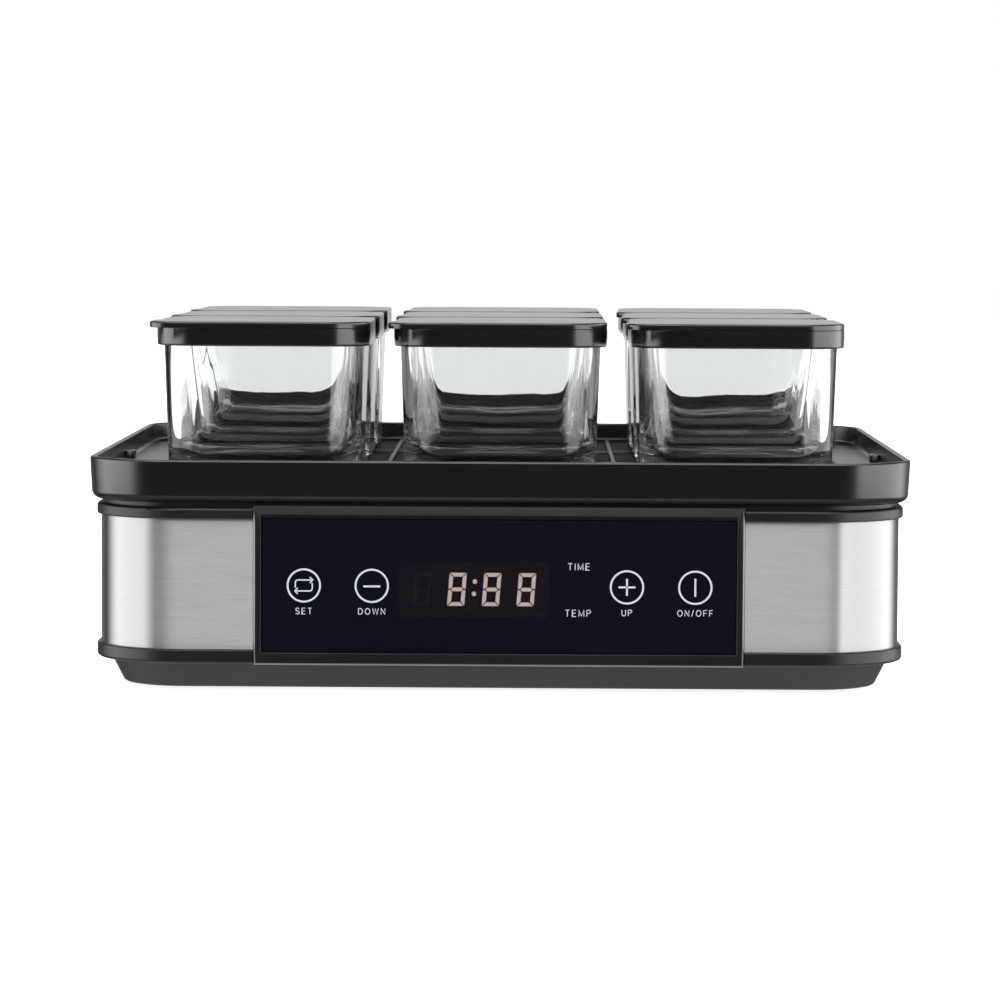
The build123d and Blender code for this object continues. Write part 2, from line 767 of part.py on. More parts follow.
ribbon_width = 12.0
ribbon_thickness = 1.0
ribbon_x = -10.0
with BuildPart() as ribbon_cable:
    ribbon_start = (ribbon_x, board_back, 26.0)
    ribbon_turn = (ribbon_x, board_y - power_board_size[1] / 2 + 6.0, 26.0)
    ribbon_end = (ribbon_x, board_y - power_board_size[1] / 2 + 6.0, board_top)
    with BuildLine() as ribbon_path:
        FilletPolyline(ribbon_start, ribbon_turn, ribbon_end, radius=8.0)
    with BuildSketch(Plane(origin=ribbon_start, x_dir=(1, 0, 0), z_dir=(0, 1, 0))):
        Rectangle(ribbon_width, ribbon_thickness)
    sweep(path=ribbon_path.wires()[0])
export(ribbon_cable, "ribbon_cable")

# ---- cord gland in the back wall ---------------------------------------------------------------
band_back = trim_depth / 2 - band_inset
with BuildPart() as cord_gland:
    with BuildSketch(Plane.XZ.offset(-band_back)):
        with Locations(gland_spot):
            Circle(gland_flange)
    extrude(amount=-gland_flange_thickness)
    fillet(cord_gland.faces().sort_by(Axis.Y)[-1].edges(), 1.0)
    with BuildSketch(Plane.XZ.offset(-band_back)):
        with Locations(gland_spot):
            Circle(gland_neck)
    extrude(amount=5.0)
    with BuildSketch(Plane.XZ.offset(-band_back - gland_flange_thickness)):
        with Locations(gland_spot):
            Circle(gland_bore)
    extrude(amount=gland_flange_thickness + 5.0, mode=Mode.SUBTRACT)
export(cord_gland, "cord_gland")

# ---- jars and lids -----------------------------------------------------------------------------
jar_draft = math.degrees(math.atan((jar_neck_width - jar_foot_width) / 2 / jar_wall_height))
bore_depth = jar_height - jar_base
bore_draft = math.degrees(math.atan((jar_bore_mouth - jar_bore_foot) / 2 / bore_depth))
lid_underside = jar_height
lid_bottom = jar_height + lid_plate - lid_height
lid_top = jar_height + lid_plate
tab_edge = lid_width / 2 + lid_tab_reach
tab_inner = lid_width / 2 - 0.6

jar_number = 0
for row in range(rows):
    for column in range(columns):
        jar_number += 1
        jar_x = (column - (columns - 1) / 2) * pitch
        jar_y = (row - (rows - 1) / 2) * pitch
        spot = Plane(origin=(jar_x, jar_y, floor_level))

        with BuildPart() as bore:
            with BuildSketch(spot.offset(jar_base)):
                RectangleRounded(jar_bore_foot, jar_bore_foot, jar_bore_corner)
            extrude(amount=bore_depth, taper=-bore_draft)
            fillet(bore.faces().sort_by(Axis.Z)[0].edges(), jar_bore_round)

        with BuildPart() as jar:
            with BuildSketch(spot):
                RectangleRounded(jar_foot_width, jar_foot_width, jar_corner)
            extrude(amount=jar_wall_height, taper=-jar_draft)
            with BuildSketch(spot.offset(jar_wall_height)):
                RectangleRounded(jar_neck_width - 0.4, jar_neck_width - 0.4, jar_corner + 1.3)
            extrude(amount=jar_height - jar_wall_height)
            fillet(jar.faces().sort_by(Axis.Z)[-1].edges(), 0.8)
            fillet(jar.faces().sort_by(Axis.Z)[0].edges(), 3.0)
            with BuildSketch(spot.offset(bead_level)):
                RectangleRounded(bead_width, bead_width, jar_corner + 2.5)
            extrude(amount=bead_height)
            add(bore.part, mode=Mode.SUBTRACT)
        export(jar, f"jar_{jar_number}")

        with BuildPart() as lid:
            with BuildSketch(spot.offset(lid_bottom)):
                RectangleRounded(lid_width, lid_width, lid_corner)
            extrude(amount=lid_height)
            with BuildSketch(spot.offset(lid_top - lid_tab_thickness)):
                with BuildLine():
                    corner_line = Polyline(
                        (-tab_inner, -tab_inner + lid_tab_length),
                        (-tab_edge, -tab_edge + lid_tab_length / 2),
                        (-tab_edge, -tab_edge),
                        (-tab_edge + lid_tab_length / 2, -tab_edge),
                        (-tab_inner + lid_tab_length, -tab_inner),
                        (0, 0),
                        close=True,
                    )
                make_face()
                fillet(corner_line.vertices().sort_by(Axis((0, 0, 0), (1, 1, 0)))[0:1], lid_tab_corner)
            extrude(amount=lid_tab_thickness)
            with BuildSketch(spot.offset(lid_bottom)):
                RectangleRounded(lid_width - 2 * lid_wall, lid_width - 2 * lid_wall, lid_corner - lid_wall)
            extrude(amount=lid_height - lid_plate, mode=Mode.SUBTRACT)
            with BuildSketch(spot.offset(lid_underside)):
                RectangleRounded(plug_width, plug_width, plug_corner)
                RectangleRounded(
                    plug_width - 2 * plug_wall,
                    plug_width - 2 * plug_wall,
                    plug_corner - plug_wall,
                    mode=Mode.SUBTRACT,
                )
            extrude(amount=-plug_depth)
            fillet(lid.faces().sort_by(Axis.Z)[-1].edges(), 0.5)
        export(lid, f"lid_{jar_number}")
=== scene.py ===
"""Looks for the nine-jar yogurt maker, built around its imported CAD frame. Metres, +Z up, panel facing -Y."""

import json
import math

import bmesh
import bpy
from mathutils import Euler, Matrix, Vector, noise


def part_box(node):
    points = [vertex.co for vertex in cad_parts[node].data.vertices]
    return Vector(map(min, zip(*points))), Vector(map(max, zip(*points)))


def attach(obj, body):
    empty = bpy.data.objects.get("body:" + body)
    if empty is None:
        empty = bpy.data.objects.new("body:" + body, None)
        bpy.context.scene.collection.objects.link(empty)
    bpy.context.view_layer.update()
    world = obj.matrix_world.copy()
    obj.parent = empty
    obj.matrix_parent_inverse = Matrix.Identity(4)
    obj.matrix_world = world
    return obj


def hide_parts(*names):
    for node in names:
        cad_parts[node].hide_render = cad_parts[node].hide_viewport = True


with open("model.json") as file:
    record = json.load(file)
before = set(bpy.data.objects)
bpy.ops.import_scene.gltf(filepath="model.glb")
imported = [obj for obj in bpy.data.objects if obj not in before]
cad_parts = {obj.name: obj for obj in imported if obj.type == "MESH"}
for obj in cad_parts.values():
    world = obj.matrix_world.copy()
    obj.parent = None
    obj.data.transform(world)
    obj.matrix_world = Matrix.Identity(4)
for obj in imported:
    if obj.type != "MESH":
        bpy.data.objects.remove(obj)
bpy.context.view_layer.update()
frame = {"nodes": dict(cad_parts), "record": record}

MM = 0.001


# ---- camera, floor and studio ------------------------------------------------------------------
CAMERA_DISTANCE = 1.5368
CAMERA_HEIGHT = 0.1698
CAMERA_LENS = 143.3
CAMERA_PITCH = 4.075
CAMERA_SIDE = 0.0113
CAMERA_YAW = 0.45
CAMERA_ROLL = 0.3
FLOOR_HALF = 4.0
FLOOR_GLOW = 0.85
# Strengths of the studio's lights.
SIDE_LIGHT = 2.9
BACK_LIGHT = 0.6
BACK_FILL = 0.3
TOP_LIGHT = 1.5
FLOOR_LIGHT = 0.9
FRONT_LIGHT = 0.015
FRONT_BOX = 1.55
SWEEP_LIGHT = 1.24
THROUGH_LOSS = 0.85
# Where each light starts and where it is full, in degrees of azimuth or elevation.
LEFT_BOX_START, LEFT_BOX_END = (40.0, 58.0), (137.0, 98.0)
RIGHT_BOX_START, RIGHT_BOX_END = (33.0, 37.0), (146.0, 116.0)
SIDE_BOX_LOW, SIDE_BOX_HIGH = (-26.0, -8.0), (30.0, 12.0)
BACK_WALL, BACK_FILL_EDGE, BACK_LOW = (162.0, 170.0), (134.0, 150.0), (-40.0, -8.0)
FRONT_BOX_FULL, FRONT_BOX_EDGE, FRONT_BOX_LOW = (34.0, 22.0), (60.0, 40.0), (12.0, 26.0)
FRONT_BOX_DIM = 0.45
TOP_EDGE, FLOOR_EDGE = (40.0, 62.0), (-22.0, -46.0)
SWEEP_SIDE, SWEEP_LOW, SWEEP_HIGH = (25.0, 45.0), (-50.0, -30.0), (8.0, 3.0)


def add_camera():
    """The camera stands in front of the panel, a little above the lids, and looks slightly down."""
    data = bpy.data.cameras.new("camera")
    data.lens = CAMERA_LENS
    data.sensor_width = 36.0
    data.clip_start = 0.01
    camera = bpy.data.objects.new("camera", data)
    bpy.context.scene.collection.objects.link(camera)
    camera.location = (CAMERA_SIDE, -CAMERA_DISTANCE, CAMERA_HEIGHT)
    aim = Euler((math.radians(90.0 - CAMERA_PITCH), 0.0, math.radians(CAMERA_YAW))).to_matrix()
    camera.rotation_euler = (aim @ Matrix.Rotation(math.radians(CAMERA_ROLL), 3, "Z")).to_euler()
    bpy.context.scene.camera = camera


class Nodes:
    """A short way to write a node tree: each call adds one node and returns its output."""

    def __init__(self, tree):
        self.tree = tree

    def add(self, kind, **settings):
        node = self.tree.nodes.new(kind)
        for name, value in settings.items():
            setattr(node, name, value)
        return node

    def put(self, socket, value):
        if isinstance(value, bpy.types.NodeSocket):
            self.tree.links.new(value, socket)
        elif value is not None:
            socket.default_value = value

    def math(self, operation, first, second=None, third=None, clamp=False):
        node = self.add("ShaderNodeMath", operation=operation, use_clamp=clamp)
        for socket, value in zip(node.inputs, (first, second, third)):
            self.put(socket, value)
        return node.outputs[0]

    def ramp(self, value, low, high, out_low=0.0, out_high=1.0):
        """Rises smoothly from out_low at low to out_high at high."""
        node = self.add("ShaderNodeMapRange", interpolation_type="SMOOTHSTEP")
        for socket, item in zip(node.inputs, (value, low, high, out_low, out_high)):
            self.put(socket, item)
        return node.outputs["Result"]

    def fall(self, value, dark, full, out_full=1.0, out_dark=0.0):
        """Falls smoothly from out_full at full to out_dark at dark, which is the larger value."""
        return self.ramp(value, full, dark, out_full, out_dark)

    def mix(self, factor, first, second):
        node = self.add("ShaderNodeMix", data_type="RGBA")
        self.put(node.inputs["Factor"], factor)
        self.put(node.inputs["A"], first)
        self.put(node.inputs["B"], second)
        return node.outputs["Result"]

    def position(self, scale=(1.0, 1.0, 1.0)):
        """Object coordinates in metres, stretched by scale."""
        coordinates = self.add("ShaderNodeTexCoord")
        mapping = self.add("ShaderNodeMapping")
        self.put(mapping.inputs["Vector"], coordinates.outputs["Object"])
        mapping.inputs["Scale"].default_value = scale
        return mapping.outputs["Vector"]

    def noise(self, scale, detail=3.0, stretch=(1.0, 1.0, 1.0), roughness=0.5):
        node = self.add("ShaderNodeTexNoise")
        self.put(node.inputs["Vector"], self.position(stretch))
        node.inputs["Scale"].default_value = scale
        node.inputs["Detail"].default_value = detail
        node.inputs["Roughness"].default_value = roughness
        return node.outputs["Fac"]

    def bump(self, height, distance, strength=1.0, normal=None):
        node = self.add("ShaderNodeBump")
        self.put(node.inputs["Height"], height)
        node.inputs["Distance"].default_value = distance
        node.inputs["Strength"].default_value = strength
        if normal is not None:
            self.put(node.inputs["Normal"], normal)
        return node.outputs["Normal"]


def rgb(red, green, blue):
    return (red, green, blue, 1.0)


def add_world():
    """A white studio: bright walls behind, a tall soft box at each side, a soft box above, dark in front."""
    world = bpy.data.worlds.new("studio")
    world.use_nodes = True
    world.node_tree.nodes.clear()
    n = Nodes(world.node_tree)
    direction = n.add("ShaderNodeTexCoord").outputs["Generated"]
    split = n.add("ShaderNodeSeparateXYZ")
    n.put(split.inputs[0], direction)
    x, y, z = split.outputs
    degrees = 180.0 / math.pi
    # Azimuth is 0 towards the panel's front and 180 behind; elevation is above the horizon.
    azimuth = n.math("ABSOLUTE", n.math("MULTIPLY", n.math("ARCTAN2", x, n.math("MULTIPLY", y, -1.0)), degrees))
    elevation = n.math("MULTIPLY", n.math("ARCSINE", z), degrees)
    right = n.math("GREATER_THAN", x, 0.0)
    left_start = n.ramp(azimuth, *LEFT_BOX_START)
    right_start = n.ramp(azimuth, *RIGHT_BOX_START)
    start = n.math("MULTIPLY_ADD", right, n.math("SUBTRACT", right_start, left_start), left_start)
    left_end = n.fall(azimuth, *LEFT_BOX_END)
    right_end = n.fall(azimuth, *RIGHT_BOX_END)
    end = n.math("MULTIPLY_ADD", right, n.math("SUBTRACT", right_end, left_end), left_end)
    side = n.math("MULTIPLY", start, end)
    side = n.math("MULTIPLY", side, n.ramp(elevation, *SIDE_BOX_LOW))
    side = n.math("MULTIPLY", side, n.fall(elevation, *SIDE_BOX_HIGH))
    wall = n.math("MAXIMUM", n.ramp(azimuth, *BACK_WALL), n.ramp(azimuth, *BACK_FILL_EDGE, 0.0, BACK_FILL))
    back = n.math("MULTIPLY", wall, n.ramp(elevation, *BACK_LOW))
    front = n.fall(azimuth, *FRONT_BOX_FULL, FRONT_BOX, FRONT_BOX_DIM * FRONT_BOX)
    front = n.math("MULTIPLY", front, n.ramp(elevation, *FRONT_BOX_LOW))
    front = n.math("MULTIPLY", front, n.fall(azimuth, *FRONT_BOX_EDGE))
    top = n.ramp(elevation, *TOP_EDGE)
    low = n.fall(elevation, *FLOOR_EDGE)
    path = n.add("ShaderNodeLightPath")
    through = path.outputs["Is Transmission Ray"]
    # The jars' bases turn rays upwards, so less of the back and top light shows through them.
    light = n.math("MULTIPLY", back, BACK_LIGHT)
    light = n.math("MULTIPLY_ADD", n.math("MAXIMUM", top, front), TOP_LIGHT, light)
    light = n.math("MULTIPLY", light, n.math("MULTIPLY_ADD", through, -THROUGH_LOSS, 1.0))
    light = n.math("MULTIPLY_ADD", side, SIDE_LIGHT, n.math("ADD", light, FRONT_LIGHT))
    light = n.math("MULTIPLY_ADD", low, FLOOR_LIGHT, light)
    # What shows through the jars is the same white sweep that the camera sees.
    sweep = n.math("MULTIPLY", n.ramp(azimuth, *SWEEP_SIDE), n.ramp(elevation, *SWEEP_LOW))
    sweep = n.math("MULTIPLY", sweep, n.fall(elevation, *SWEEP_HIGH))
    sweep = n.math("MULTIPLY", n.math("MULTIPLY", sweep, SWEEP_LIGHT), through)
    light = n.math("MAXIMUM", light, sweep)
    studio = n.add("ShaderNodeBackground")
    n.put(studio.inputs["Strength"], light)
    studio.inputs["Color"].default_value = rgb(0.985, 0.99, 1.0)
    white = n.add("ShaderNodeBackground")
    white.inputs["Color"].default_value = rgb(1.0, 1.0, 1.0)
    both = n.add("ShaderNodeMixShader")
    n.put(both.inputs[0], path.outputs["Is Camera Ray"])
    n.put(both.inputs[1], studio.outputs[0])
    n.put(both.inputs[2], white.outputs[0])
    out = n.add("ShaderNodeOutputWorld")
    n.put(out.inputs["Surface"], both.outputs[0])
    bpy.context.scene.world = world


def add_floor():
    """A plain pale floor that the mirror-like surfaces don't pick up."""
    mesh = bpy.data.meshes.new("floor")
    corners = [(-1, -1), (1, -1), (1, 1), (-1, 1)]
    mesh.from_pydata([(x * FLOOR_HALF, y * FLOOR_HALF, 0.0) for x, y in corners], [], [(0, 1, 2, 3)])
    floor = bpy.data.objects.new("floor", mesh)
    bpy.context.scene.collection.objects.link(floor)
    material = bpy.data.materials.new("floor")
    material.use_nodes = True
    material.node_tree.nodes.clear()
    n = Nodes(material.node_tree)
    diffuse = n.add("ShaderNodeBsdfDiffuse")
    diffuse.inputs["Color"].default_value = rgb(0.88, 0.88, 0.88)
    glow = n.add("ShaderNodeEmission")
    glow.inputs["Strength"].default_value = FLOOR_GLOW
    both = n.add("ShaderNodeAddShader")
    n.put(both.inputs[0], diffuse.outputs[0])
    n.put(both.inputs[1], glow.outputs[0])
    n.put(n.add("ShaderNodeOutputMaterial").inputs["Surface"], both.outputs[0])
    mesh.materials.append(material)
    floor.visible_glossy = False
    floor.visible_transmission = False


add_camera()
add_world()
add_floor()
scene = bpy.context.scene
scene.view_settings.view_transform = "Standard"
scene.cycles.max_bounces = 32
scene.cycles.transmission_bounces = 32
scene.cycles.glossy_bounces = 12
scene.cycles.transparent_max_bounces = 16
scene.cycles.sample_clamp_indirect = 8.0
scene.cycles.use_denoising = True


# ---- materials ---------------------------------------------------------------------------------
def new_material(name):
    """A material with a Principled shader, and the helper that adds nodes to it."""
    material = bpy.data.materials.new(name)
    material.use_nodes = True
    n = Nodes(material.node_tree)
    shader = material.node_tree.nodes["Principled BSDF"]
    return material, n, shader.inputs


def moulded(
    name, colour, roughness, grain=900.0, depth=0.01, variation=0.12, gloss_noise=0.06, coat=0.0, shine=0.5
):
    """Moulded plastic, rubber or enamel: fine surface grain, and slight changes of tone and gloss."""
    material, n, to = new_material(name)
    tone = n.noise(14.0, 4.0)
    pale = rgb(*[min(1.0, c * (1.0 + variation)) for c in colour])
    deep = rgb(*[c * (1.0 - variation) for c in colour])
    n.put(to["Base Color"], n.mix(tone, deep, pale))
    smear = n.noise(36.0, 5.0)
    n.put(to["Roughness"], n.ramp(smear, 0.3, 0.7, roughness - gloss_noise / 2, roughness + gloss_noise / 2))
    n.put(to["Normal"], n.bump(n.noise(grain, 2.0), depth * MM))
    to["Coat Weight"].default_value = coat
    to["Coat Roughness"].default_value = 0.19
    to["Specular IOR Level"].default_value = shine
    return material


DULL_HALF = 0.127


def tray_black(name, well):
    """Gloss black plastic: the well has a dull, finely pitted texture, and the underside is dull too."""
    material, n, to = new_material(name)
    split = n.add("ShaderNodeSeparateXYZ")
    n.put(split.inputs[0], n.position())
    geometry = n.add("ShaderNodeNewGeometry")
    facing = n.add("ShaderNodeSeparateXYZ")
    n.put(facing.inputs[0], geometry.outputs["True Normal"])
    smooth = n.add("ShaderNodeSeparateXYZ")
    n.put(smooth.inputs[0], geometry.outputs["Normal"])
    dull = n.ramp(split.outputs[2], well + 0.4 * MM, well + 1.6 * MM, 1.0, 0.0)
    dull = n.math("MULTIPLY", dull, n.ramp(facing.outputs[2], 0.3, 0.8))
    outward = n.math("ABSOLUTE", split.outputs[0])
    dull = n.math("MULTIPLY", dull, n.ramp(outward, DULL_HALF, DULL_HALF + 2.0 * MM, 1.0, 0.0))
    speckle = n.noise(700.0, 3.0)
    n.put(to["Base Color"], n.mix(n.noise(14.0, 4.0), rgb(0.0042, 0.0042, 0.0050), rgb(0.0052, 0.0052, 0.0060)))
    n.put(to["Roughness"], n.math("MULTIPLY_ADD", dull, 0.36, n.ramp(n.noise(36.0, 5.0), 0.3, 0.7, 0.22, 0.26)))
    gloss = n.ramp(smooth.outputs[2], -0.6, -0.05, 0.12, 0.9)
    n.put(to["Specular IOR Level"], n.math("MULTIPLY_ADD", dull, -0.8, gloss))
    n.put(to["Normal"], n.bump(speckle, 0.03 * MM, 0.35))
    return material


def bezel_black(name, side, foot):
    """The panel frame's plastic, polished on its bevels beyond side and below foot, which catch the light."""
    material = moulded(name, (0.0088, 0.0085, 0.009), 0.34, 1100.0, 0.006)
    n = Nodes(material.node_tree)
    to = material.node_tree.nodes["Principled BSDF"].inputs
    facing = n.add("ShaderNodeSeparateXYZ")
    n.put(facing.inputs[0], n.add("ShaderNodeNewGeometry").outputs["True Normal"])
    split = n.add("ShaderNodeSeparateXYZ")
    n.put(split.inputs[0], n.position())
    beyond = n.math("GREATER_THAN", n.math("ABSOLUTE", split.outputs[0]), side)
    outer = n.math("MAXIMUM", beyond, n.math("LESS_THAN", split.outputs[2], foot))
    edge = n.math("MULTIPLY", outer, n.ramp(n.math("ABSOLUTE", facing.outputs[1]), 0.76, 0.86, 1.0, 0.0))
    n.put(to["Specular IOR Level"], n.math("MULTIPLY_ADD", edge, 1.3, 0.22))
    n.put(to["Coat Weight"], n.math("MULTIPLY_ADD", edge, 0.9, 0.1))
    return material


def brushed_steel(name):
    """Stainless steel brushed along the band: long fine scratches that spread reflections up and down."""
    material, n, to = new_material(name)
    fine = n.noise(1.0, 4.0, (110.0, 110.0, 5200.0), 0.6)
    coarse = n.noise(1.0, 3.0, (40.0, 40.0, 1100.0), 0.55)
    streak = n.math("MULTIPLY_ADD", coarse, 0.4, n.math("MULTIPLY", fine, 0.6))
    n.put(to["Base Color"], n.mix(n.ramp(streak, 0.35, 0.65), rgb(0.575, 0.575, 0.57), rgb(0.655, 0.655, 0.65)))
    to["Metallic"].default_value = 1.0
    n.put(to["Roughness"], n.ramp(streak, 0.3, 0.7, 0.36, 0.42))
    to["Anisotropic"].default_value = 1.0
    to["Anisotropic Rotation"].default_value = 0.25
    tangent = n.add("ShaderNodeTangent", direction_type="RADIAL", axis="Z")
    n.put(to["Tangent"], tangent.outputs[0])
    n.put(to["Normal"], n.bump(fine, 0.002 * MM, 0.5))
    return material


def sheet_metal(name, colour, roughness):
    """Plain rolled sheet or plated hardware."""
    material, n, to = new_material(name)
    grain = n.noise(1.0, 4.0, (700.0, 40.0, 700.0), 0.6)
    n.put(to["Base Color"], n.mix(grain, rgb(*[c * 0.88 for c in colour]), rgb(*colour)))
    to["Metallic"].default_value = 1.0
    n.put(to["Roughness"], n.ramp(grain, 0.3, 0.7, roughness * 0.8, roughness * 1.2))
    n.put(to["Normal"], n.bump(n.noise(500.0, 3.0), 0.006 * MM))
    return material


def jar_glass(name, stippled_below):
    """Clear pressed soda glass: a slightly uneven surface, hazy towards the foot, with a stippled underside."""
    material, n, to = new_material(name)
    to["Base Color"].default_value = rgb(0.99, 0.995, 0.995)
    to["Transmission Weight"].default_value = 1.0
    to["IOR"].default_value = 1.5
    split = n.add("ShaderNodeSeparateXYZ")
    n.put(split.inputs[0], n.position())
    frost = n.ramp(split.outputs[2], stippled_below - 0.6 * MM, stippled_below, 0.55, 0.0)
    haze = n.ramp(split.outputs[2], stippled_below + 3.0 * MM, stippled_below + 9.0 * MM, 0.09, 0.0)
    n.put(to["Roughness"], n.math("MAXIMUM", frost, haze))
    ripple = n.noise(1.0, 2.0, (150.0, 150.0, 45.0))
    n.put(to["Normal"], n.bump(ripple, 0.06 * MM, 0.35))
    return material


def panel_glass(name, window_low, window_high, middle):
    """Glass printed black behind, with a smoked window over the display."""
    material, n, to = new_material(name)
    tone = n.noise(9.0, 3.0)
    n.put(to["Base Color"], n.mix(tone, rgb(0.0028, 0.0036, 0.0075), rgb(0.0045, 0.0042, 0.0068)))
    to["Roughness"].default_value = 0.04
    to["Specular IOR Level"].default_value = 0.35
    split = n.add("ShaderNodeSeparateXYZ")
    n.put(split.inputs[0], n.position())
    inside = 1.0
    edge = 0.6 * MM
    for axis in (0, 2):
        value = split.outputs[axis]
        inside = n.math("MULTIPLY", n.ramp(value, window_low[axis] - edge, window_low[axis] + edge), inside)
        below = n.ramp(value, window_high[axis] - edge, window_high[axis] + edge, 1.0, 0.0)
        inside = n.math("MULTIPLY", below, inside)
    shader = material.node_tree.nodes["Principled BSDF"].outputs[0]
    clear = n.add("ShaderNodeBsdfTransparent")
    clear.inputs["Color"].default_value = rgb(0.95, 0.93, 0.91)
    tint = n.add("ShaderNodeBsdfDiffuse")
    tint.inputs["Color"].default_value = rgb(0.010, 0.0088, 0.0135)
    smoke = n.add("ShaderNodeMixShader")
    smoke.inputs[0].default_value = 0.5
    n.put(smoke.inputs[1], clear.outputs[0])
    n.put(smoke.inputs[2], tint.outputs[0])
    shine = n.add("ShaderNodeBsdfGlossy")
    shine.inputs["Roughness"].default_value = 0.04
    fresnel = n.add("ShaderNodeFresnel")
    fresnel.inputs["IOR"].default_value = 1.35
    # The face behind middle doesn't reflect, so the display also shows at a slant.
    front = n.math("LESS_THAN", split.outputs[1], middle)
    window = n.add("ShaderNodeMixShader")
    n.put(window.inputs[0], n.math("MULTIPLY", fresnel.outputs[0], front))
    n.put(window.inputs[1], smoke.outputs[0])
    n.put(window.inputs[2], shine.outputs[0])
    both = n.add("ShaderNodeMixShader")
    n.put(both.inputs[0], inside)
    n.put(both.inputs[1], shader)
    n.put(both.inputs[2], window.outputs[0])
    n.put(material.node_tree.nodes["Material Output"].inputs["Surface"], both.outputs[0])
    return material


def display_light(name, first_lit_x):
    """Milky light guides: those right of first_lit_x are lit warm white, the rest are dark."""
    material, n, to = new_material(name)
    split = n.add("ShaderNodeSeparateXYZ")
    n.put(split.inputs[0], n.position())
    lit = n.math("GREATER_THAN", split.outputs[0], first_lit_x)
    speckle = n.ramp(n.noise(1500.0, 2.0), 0.3, 0.7, 0.86, 1.0)
    n.put(to["Base Color"], n.mix(lit, rgb(0.10, 0.07, 0.055), rgb(0.5, 0.4, 0.34)))
    to["Roughness"].default_value = 0.4
    to["Emission Color"].default_value = rgb(0.88, 0.75, 0.68)
    n.put(to["Emission Strength"], n.math("MULTIPLY", n.math("MULTIPLY", lit, speckle), 2.6))
    return material


def ink(name):
    """White screen-printed ink, a little uneven, with a faint painted glow that lifts it whatever the light."""
    material, n, to = new_material(name)
    n.put(to["Base Color"], n.mix(n.noise(900.0, 3.0), rgb(0.40, 0.43, 0.47), rgb(0.47, 0.50, 0.54)))
    to["Roughness"].default_value = 0.55
    # Painted glow: the printed ink is made to emit a little light of its own, though it is no lamp.
    to["Emission Color"].default_value = rgb(0.5, 0.54, 0.6)
    to["Emission Strength"].default_value = 0.06
    n.put(to["Normal"], n.bump(n.noise(3000.0, 2.0), 0.004 * MM))
    return material


bezel_low, bezel_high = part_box("control_bezel")
glass_low, glass_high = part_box("glass_panel")
display_low, display_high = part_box("led_display")
WINDOW_MARGIN = Vector((0.6 * MM, 0.0, 0.6 * MM))
window_low = display_low - WINDOW_MARGIN
window_high = display_high + WINDOW_MARGIN
DIGIT_PITCH = 12.3 * MM
DIGIT_LEAN = 2.0 * MM
first_lit_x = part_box("led_segments")[0].x + DIGIT_PITCH - DIGIT_LEAN
jar_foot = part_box("jar_5")[0].z

finish = {
    "plinth_plastic": moulded("plinth_plastic", (0.0195, 0.0183, 0.0198), 0.5, 1400.0, 0.012),
    "trim_plastic": moulded("trim_plastic", (0.0062, 0.0056, 0.0056), 0.36, 1100.0, 0.006, shine=0.5),
    "inner_plastic": moulded("inner_plastic", (0.02, 0.02, 0.021), 0.5),
    "bezel_plastic": bezel_black("bezel_plastic", bezel_high.x - 1.3 * MM, bezel_low.z + 1.3 * MM),
    "gloss_black": tray_black("gloss_black", jar_foot),
    "lid_plastic": moulded("lid_plastic", (0.0052, 0.0052, 0.0057), 0.22, 500.0, 0.006, 0.1, 0.05, coat=0.75),
    "rubber": moulded("rubber", (0.02, 0.02, 0.02), 0.7, 900.0, 0.02),
    "brushed_steel": brushed_steel("brushed_steel"),
    "screw_steel": sheet_metal("screw_steel", (0.55, 0.55, 0.54), 0.3),
    "aluminium": sheet_metal("aluminium", (0.8, 0.8, 0.81), 0.32),
    "zinc_sheet": sheet_metal("zinc_sheet", (0.6, 0.61, 0.62), 0.4),
    "component_metal": sheet_metal("component_metal", (0.62, 0.6, 0.56), 0.3),
    "transformer_steel": moulded("transformer_steel", (0.16, 0.13, 0.05), 0.42, 600.0, 0.02),
    "silicone": moulded("silicone", (0.72, 0.68, 0.62), 0.5, 700.0, 0.01),
    "felt": moulded("felt", (0.78, 0.74, 0.62), 0.95, 350.0, 0.2, 0.25),
    "component_black": moulded("component_black", (0.02, 0.02, 0.02), 0.35),
    "adhesive_tape": moulded("adhesive_tape", (0.015, 0.015, 0.015), 0.7),
    "circuit_board": moulded("circuit_board", (0.015, 0.14, 0.05), 0.3, 400.0, 0.01, 0.2),
    "display_case": moulded("display_case", (0.005, 0.004, 0.004), 0.6),
    "conductive_foam": moulded("conductive_foam", (0.06, 0.06, 0.06), 0.9, 900.0, 0.15, 0.3),
    "relay_case": moulded("relay_case", (0.02, 0.08, 0.35), 0.3),
    "capacitor_sleeve": moulded("capacitor_sleeve", (0.02, 0.02, 0.12), 0.25),
    "terminal_plastic": moulded("terminal_plastic", (0.05, 0.3, 0.1), 0.35),
    "lead_sleeve": moulded("lead_sleeve", (0.2, 0.08, 0.03), 0.35),
    "ribbon": moulded("ribbon", (0.6, 0.6, 0.6), 0.4, 300.0, 0.02),
    "jar_glass": jar_glass("jar_glass", jar_foot + 2.0 * MM),
    "panel_glass": panel_glass("panel_glass", window_low, window_high, (glass_low.y + glass_high.y) / 2),
    "led_light": display_light("led_light", first_lit_x),
}
white_ink_and_painted_glow = ink("white_ink_and_painted_glow")


def finish_cad_nodes():
    """Every CAD node gets the detailed material of its slot."""
    slot_of = {part["node"]: part["material_slot"] for part in frame["record"]["subparts"]}
    for name, node in frame["nodes"].items():
        for material_slot in node.material_slots:
            material_slot.material = finish[slot_of[name]]


finish_cad_nodes()


